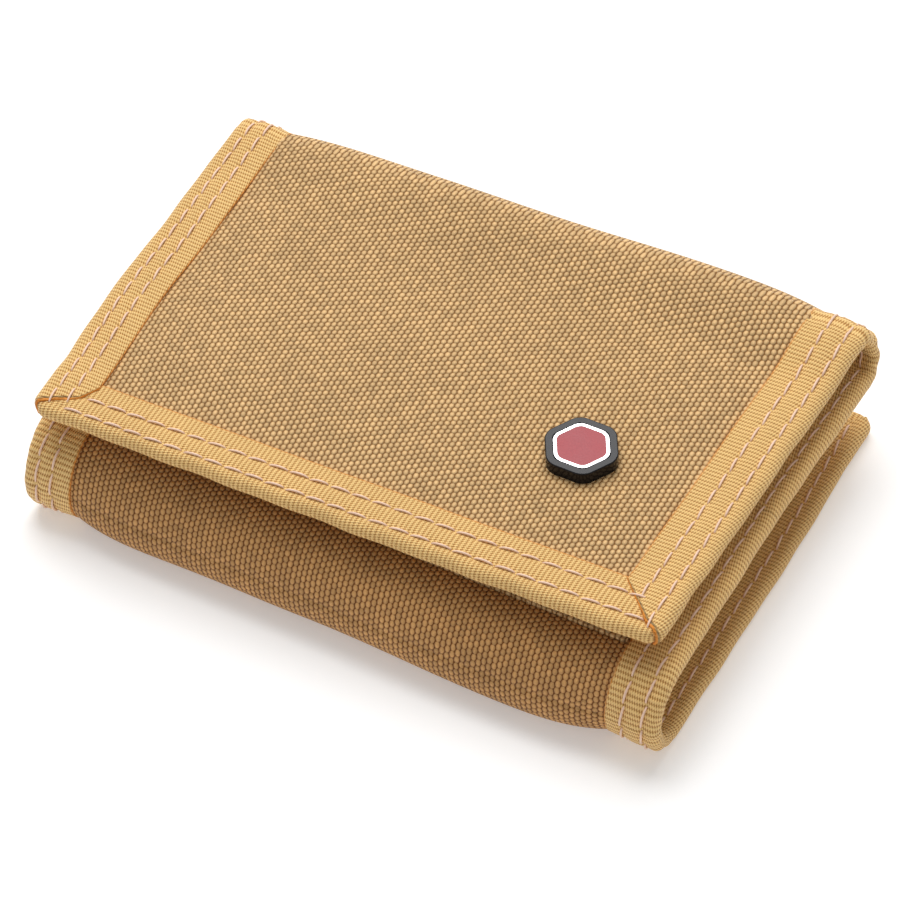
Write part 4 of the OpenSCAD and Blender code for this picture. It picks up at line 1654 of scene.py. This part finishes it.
@dataclass
class CoinPocket:
    """The zipped coin pocket on the bottom panel."""

    panels: dict[str, Panel]
    tooth_pitch: float = 1.0
    wire_radius: float = 0.21

    def build(self, palette: Palette) -> list[bpy.types.Object]:
        """Makes the pocket's cloths, its seams and the zip.

        Args:
            palette: The finishes.

        Returns:
            The pieces.
        """
        panel = self.panels["bottom"]
        made = []
        for name, node, crown, under in (
                ("coin_pocket_cloth", "coin_pocket_front", 0.9, ["coin_pocket_bag"]),
                ("coin_pocket_flap_cloth", "coin_pocket_top_strip", 0.2, [])):
            low, high = box_mm(node)
            piece = panel.sheet(name, (low.x, high.x), (low.y, high.y), high.z, True, 0.6,
                                palette.nylon,
                                "nylon_fabric", crown=crown, rests_on=under)
            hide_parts(node)
            made.append(piece)
        low, high = box_mm("coin_pocket_bag")
        bag = panel.sheet("coin_pocket_lining", (low.x, high.x), (low.y, high.y), high.z, True,
                          0.25, palette.lining,
                          "pocket_lining", rests_on=["bottom_inner_cloth"], pitch=3.0)
        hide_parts("coin_pocket_bag")
        made += [bag, self._gusset(panel, palette)]
        made += self._zip(panel, palette)
        made += self._seams(panel, palette)
        return made

    @staticmethod
    def _gusset(panel: Panel, palette: Palette) -> bpy.types.Object:
        """The low wall around the pocket, slightly bellied."""
        low, high = box_mm("coin_pocket_gusset")
        corner = 1.6
        cx, cy = (low.x + high.x) / 2, (low.y + high.y) / 2
        hx, hy = (high.x - low.x) / 2, (high.y - low.y) / 2
        loop = []
        for qx, qy, start in ((1, 1, 0), (-1, 1, 90), (-1, -1, 180), (1, -1, 270)):
            for a in np.radians(np.linspace(start, start + 90, 7)):
                loop.append((cx + qx * (hx - corner) + corner * math.cos(a),
                             cy + qy * (hy - corner) + corner * math.sin(a)))
        loop = np.array(loop + loop[:1])
        share = np.linspace(0.0, 1.0, 7)
        belly = -0.25 * np.sin(np.pi * share)
        gx = cx + (loop[:, 0] - cx)[None, :] * (1 + belly[:, None] / hx)
        gy = cy + (loop[:, 1] - cy)[None, :] * (1 + belly[:, None] / hy)
        gz = low.z + (high.z - low.z) * share[:, None] + np.zeros_like(gx)
        run = np.concatenate([[0.0], np.cumsum(np.hypot(*np.diff(loop, axis=0).T))])
        uvs = uv_rows(run[None, :] + np.zeros_like(gx), gz)
        points = panel.place(gx, gy, gz)
        piece = make_mesh("coin_pocket_wall", points, grid_faces(*gx.shape), uvs, palette.nylon)
        thicken(piece, 0.5)
        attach(piece, panel.body)
        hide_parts("coin_pocket_gusset")
        return piece

    def _zip(self, panel: Panel, palette: Palette) -> list[bpy.types.Object]:
        """The zip's tapes, coils and end stops."""
        low, high = box_mm("zip_tapes")
        coil_low, coil_high = box_mm("zip_coils")
        made = []
        middle_y = (low.y + high.y) / 2
        inner = (coil_high.y - coil_low.y) / 2
        for name, a, b in (("zip_tape_front", low.y, middle_y - inner + 0.5),
                           ("zip_tape_back", middle_y + inner - 0.5, high.y)):
            tape = panel.sheet(name, (low.x, high.x), (a, b), high.z, True, 0.28, palette.zip_tape,
                               "zip_tape", pitch=1.5)
            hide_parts("zip_tapes")
            made.append(tape)
        made.append(self._coils(coil_low, coil_high, panel, palette))
        stop_low, stop_high = box_mm("zip_stops")
        stops = []
        for x0 in (stop_low.x, stop_high.x - 1.5):
            stop = add_block((x0, stop_low.y, stop_low.z), (x0 + 1.5, stop_high.y, stop_high.z))
            bevel(stop, 0.35, 3)
            stops.append(stop)
        stop = settle(join(stops), "zip_end_stops", palette.steel)
        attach(stop, panel.body)
        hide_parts("zip_stops")
        made.append(stop)
        return made

    def _coils(self, low: Vector, high: Vector, panel: Panel, palette: Palette) -> bpy.types.Object:
        """Two rows of interlocked coil turns."""
        radius = (high.z - low.z) / 2
        middle_y, middle_z = (low.y + high.y) / 2, (low.z + high.z) / 2
        points, faces, count = [], [], 0
        rings, sides = 8, 3
        a = np.linspace(0.0, 2 * math.pi, rings + 1)[:-1, None]
        b = np.linspace(0.0, 2 * math.pi, sides + 1)[None, :-1]
        wire = self.wire_radius
        half = 0.5 * (high.y - low.y)
        long_r, flat_r = half * 0.62 - wire, radius - wire
        z = middle_z + flat_r * np.sin(a) + wire * np.cos(b) * np.sin(a)
        for side in (-1, 1):
            first = low.x + 0.6 + (side > 0) * self.tooth_pitch / 2
            centre = middle_y + side * (half - half * 0.62 - 0.05)
            y = centre + long_r * np.cos(a) + wire * np.cos(b) * np.cos(a)
            for x in np.arange(first, high.x - 0.5, self.tooth_pitch):
                points.append(panel.place(x + 0.25 * side * np.cos(a) + wire * np.sin(b), y, z))
                for r in range(rings):
                    k, j = count + r * sides, count + ((r + 1) % rings) * sides
                    for c in range(sides):
                        d = (c + 1) % sides
                        faces.append((k + c, j + c, j + d, k + d))
                count += rings * sides
        piece = make_mesh("zip_coil_turns", np.concatenate(points), faces, None, palette.coil)
        face_outwards(piece)
        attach(piece, panel.body)
        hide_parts("zip_coils")
        return piece

    @staticmethod
    def _seams(panel: Panel, palette: Palette) -> list[bpy.types.Object]:
        """The stitches round the pocket and along the zip."""
        low, high = box_mm("coin_pocket_front")
        strip_low, strip_high = box_mm("coin_pocket_top_strip")
        inset = 1.6
        z = high.z + 0.05
        left, right, front, back = low.x + inset, high.x - inset, low.y + inset, high.y - inset
        lines = [((left, front), (right, front))]
        lines += [((x, front), (x, back)) for x in (left, right)]
        across = back, strip_low.y + inset, strip_high.y - inset
        lines += [((left, y), (right, y)) for y in across]
        runs = [panel.line(a, b, z, True) for a, b in lines]
        seam = stitch_piece("coin_pocket_stitches", runs, palette, 91)
        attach(seam, panel.body)
        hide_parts("coin_pocket_stitching")
        return [seam]


@dataclass
class ZipSlider:
    """The zip's shaped slider and its pull tab."""

    wing: float = 0.9

    def build(self, palette: Palette) -> list[bpy.types.Object]:
        """Makes the slider and the pull tab.

        Args:
            palette: The finishes.

        Returns:
            The two pieces.
        """
        low, high = box_mm("zip_slider_body")
        cx, cy = (low.x + high.x) / 2, (low.y + high.y) / 2
        half_l, half_w = (high.x - low.x) / 2, (high.y - low.y) / 2
        parts = []
        top_z = high.z - 1.8
        for z0 in (low.z, top_z - 0.7):
            parts.append(self._plate(cx, cy, z0, z0 + 0.7, half_l, half_w))
        parts.append(add_block((cx - half_l + 0.6, cy - 0.35, low.z + 0.6),
                               (cx - half_l + 3.4, cy + 0.35, top_z - 0.6)))
        arch = add_block((cx - 3.0, cy - 0.9, top_z - 0.1), (cx + 3.0, cy + 0.9, high.z))
        bool_cut(arch, add_block((cx - 2.1, cy - 3.0, top_z - 1.0),
                                 (cx + 2.1, cy + 3.0, high.z - 0.6)))
        bevel(arch, 0.28, 3)
        parts.append(arch)
        body = settle(join(parts), "zip_slider_casting", palette.lacquer)
        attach(body, "zip_slider")
        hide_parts("zip_slider_body")

        tab_low, tab_high = box_mm("zip_pull_tab")
        pivot_z = (tab_low.z + tab_high.z) / 2
        bar = add_rod((tab_low.x + 0.4, cy, pivot_z), 0.4, 4.0, "Y")
        arms = [add_block((tab_low.x + 0.3, cy + side * 1.7 - 0.4, pivot_z - 0.38),
                          (tab_low.x + 5.0, cy + side * 1.7 + 0.4, pivot_z + 0.38))
                for side in (-1, 1)]
        blade = add_block((tab_low.x + 4.2, cy - 2.5, pivot_z - 0.45),
                          (tab_high.x, cy + 2.5, pivot_z + 0.45))
        bool_cut(blade, add_rod((tab_high.x - 1.6, cy, pivot_z), 0.75, 3.0, "Z", 24))
        for part in (*arms, blade):
            bevel(part, 0.16, 2)
        tab = settle(join([blade, bar, *arms]), "zip_pull_loop", palette.lacquer)
        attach(tab, "zip_puller")
        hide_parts("zip_pull_tab")
        return [body, tab]

    def _plate(self, cx: float, cy: float, z0: float, z1: float, half_l: float,
               half_w: float) -> bpy.types.Object:
        """One slider plate, narrow at the tail and rounded."""
        plate = add_block((cx - half_l, cy - half_w, z0), (cx + half_l, cy + half_w, z1))
        for v in plate.data.vertices:
            if v.co.x > cx * MM:
                v.co.y = cy * MM + (v.co.y - cy * MM) * 0.66
        round_uprights(plate, self.wing, 4)
        face_outwards(plate)
        bevel(plate, 0.16, 2, 50.0)
        return plate


# ---------------------------------------------------------------- the outer shell


@dataclass
class Shell:
    """The cloths, binding tapes and edge stitches of the whole strip."""

    zones: list[Zone]

    CLOTH_NAMES = {
        ("bottom", Face.UPPER): ("bottom_inner_cloth", ("bottom_lining",)),
        ("bottom", Face.UNDER): ("bottom_outer_cloth", ("bottom_face_fabric",)),
        ("middle_front", Face.UPPER): ("middle_front_under_cloth", ("front_fold_lining",)),
        ("middle_front", Face.UNDER): ("middle_front_top_cloth",
                                       ("front_fold_face_fabric", "middle_face_fabric")),
        ("middle_back", Face.UPPER): ("middle_back_under_cloth",
                                      ("middle_lining", "back_fold_face_fabric")),
        ("middle_back", Face.UNDER): ("middle_back_top_cloth", ("back_fold_lining",)),
        ("cover", Face.UPPER): ("cover_outer_cloth", ("cover_face_fabric",)),
        ("cover", Face.UNDER): ("cover_lining_cloth", ("cover_lining",)),
    }
    NODES = {
        "bottom": (("bottom_binding",), ("bottom_stitching",)),
        "middle_front": (("front_fold_binding",), ("front_fold_stitching",)),
        "middle_back": (("middle_binding", "back_fold_binding"),
                        ("middle_stitching", "back_fold_stitching")),
        "cover": (("cover_binding",), ("cover_stitching",)),
    }

    def build(self, palette: Palette) -> list[bpy.types.Object]:
        """Makes the shell.

        Args:
            palette: The finishes.

        Returns:
            The pieces.
        """
        made = []
        ends = {
            "bottom": EndTape(self.zones[0], (3.1, 6.3, 9.5), (3.1, 6.3, 9.5)),
            "cover": EndTape(self.zones[3], (1.9, 5.3, 9.2), (2.8, 7.0, 10.2)),
        }
        for k, zone in enumerate(self.zones):
            for face in Face:
                name, replaced = self.CLOTH_NAMES[(zone.name, face)]
                made.append(ClothSheet(zone, face).build(name, palette, replaced))
            bindings, stitchings = self.NODES[zone.name]
            for side in Side:
                name = f"{zone.name}_{side.name.lower()}_tape"
                made.append(SideTape(zone, side).build(name, palette, bindings))
            sewing = EdgeStitching(zone, ends.get(zone.name))
            made.append(sewing.build(f"{zone.name}_stitches", palette, stitchings, 11 + k))
        made += [tape.build(f"{key}_end_tape", palette) for key, tape in ends.items()]
        return made


# ---------------------------------------------------------------- studio


@dataclass
class Studio:
    """A pale floor, soft light and the camera."""

    azimuth: float = 29.95
    elevation: float = 46.9
    roll: float = -2.1
    distance: float = 719.4
    shift: tuple[float, float] = (-0.21, 3.16)
    lens: float = 168.0
    floor_glow: float = 0.28
    world_light: float = 0.40
    key_size: float = 1.1
    key_power: float = 19.2

    def build(self) -> None:
        """Sets up floor, lights, world and camera."""
        bpy.ops.object.select_all(action="DESELECT")
        bpy.ops.mesh.primitive_plane_add(size=6.0, location=(0, 0, 0))
        floor = bpy.context.object
        floor.name = "studio_floor"
        n = Nodes("white_sweep")
        n.link(n.mix(n.noise(n.object_space(), 3.0), (0.81, 0.81, 0.81), (0.84, 0.84, 0.84)),
               n.shader.inputs["Base Color"])
        n.constants(Roughness=0.9, Specular_IOR_Level=0.1, Emission_Color=(1.0, 1.0, 1.0, 1.0),
                    Emission_Strength=self.floor_glow)
        floor.data.materials.append(n.material)

        world = bpy.data.worlds.new("studio_world")
        world.use_nodes = True
        background = world.node_tree.nodes["Background"]
        background.inputs["Color"].default_value = (1.0, 1.0, 1.0, 1.0)
        background.inputs["Strength"].default_value = self.world_light
        bpy.context.scene.world = world
        self._light("key", (-0.35, 0.55, 1.25), (0.0, 0.0, 0.0), self.key_size, self.key_power)
        self._camera()
        bpy.context.scene.view_settings.view_transform = "Standard"

    @staticmethod
    def _light(name: str, place: Sequence[float], aim: Sequence[float], size: float,
               power: float) -> None:
        """Adds one square soft light."""
        data = bpy.data.lights.new(name, "AREA")
        data.size = size
        data.energy = power
        light = bpy.data.objects.new(name, data)
        bpy.context.scene.collection.objects.link(light)
        light.location = place
        light.rotation_mode = "QUATERNION"
        light.rotation_quaternion = (Vector(aim) - Vector(place)).to_track_quat("-Z", "Y")

    def _camera(self) -> None:
        """Adds the camera, at its azimuth, elevation and distance from the wallet's middle."""
        a, e, r = (math.radians(v) for v in (self.azimuth, self.elevation, self.roll))
        back = Vector((math.sin(a) * math.cos(e), -math.cos(a) * math.cos(e), math.sin(e)))
        right = Vector((0, 0, 1)).cross(back).normalized()
        up = back.cross(right)
        right, up = math.cos(r) * right + math.sin(r) * up, -math.sin(r) * right + math.cos(r) * up
        data = bpy.data.cameras.new("view")
        data.lens = self.lens
        data.sensor_width = 36.0
        data.clip_start = 0.01
        data.clip_end = 20.0
        camera = bpy.data.objects.new("view", data)
        bpy.context.scene.collection.objects.link(camera)
        aim = Vector((0, 0.5, 0))
        place = right * self.shift[0] + up * self.shift[1] + back * self.distance + aim
        turn = Matrix((right, up, back)).transposed().to_4x4()
        camera.matrix_world = Matrix.Translation(place * MM) @ turn
        bpy.context.scene.camera = camera


def main() -> None:
    """Builds the wallet's looks and the studio in order."""
    logging.basicConfig(level=logging.INFO, format="%(message)s")
    palette = Palette.build()
    panels = make_panels(STRIP)
    builders = (Shell(make_zones(STRIP)), Core(panels), Badge(), Closure(panels),
                MiddlePockets(panels),
                CoinPocket(panels), ZipSlider())
    for builder in builders:
        for piece in builder.build(palette):
            LOG.info("%s: %s, %d faces", type(builder).__name__, piece.name,
                     len(piece.data.polygons))
    Studio().build()


if __name__ == "__main__":
    main()
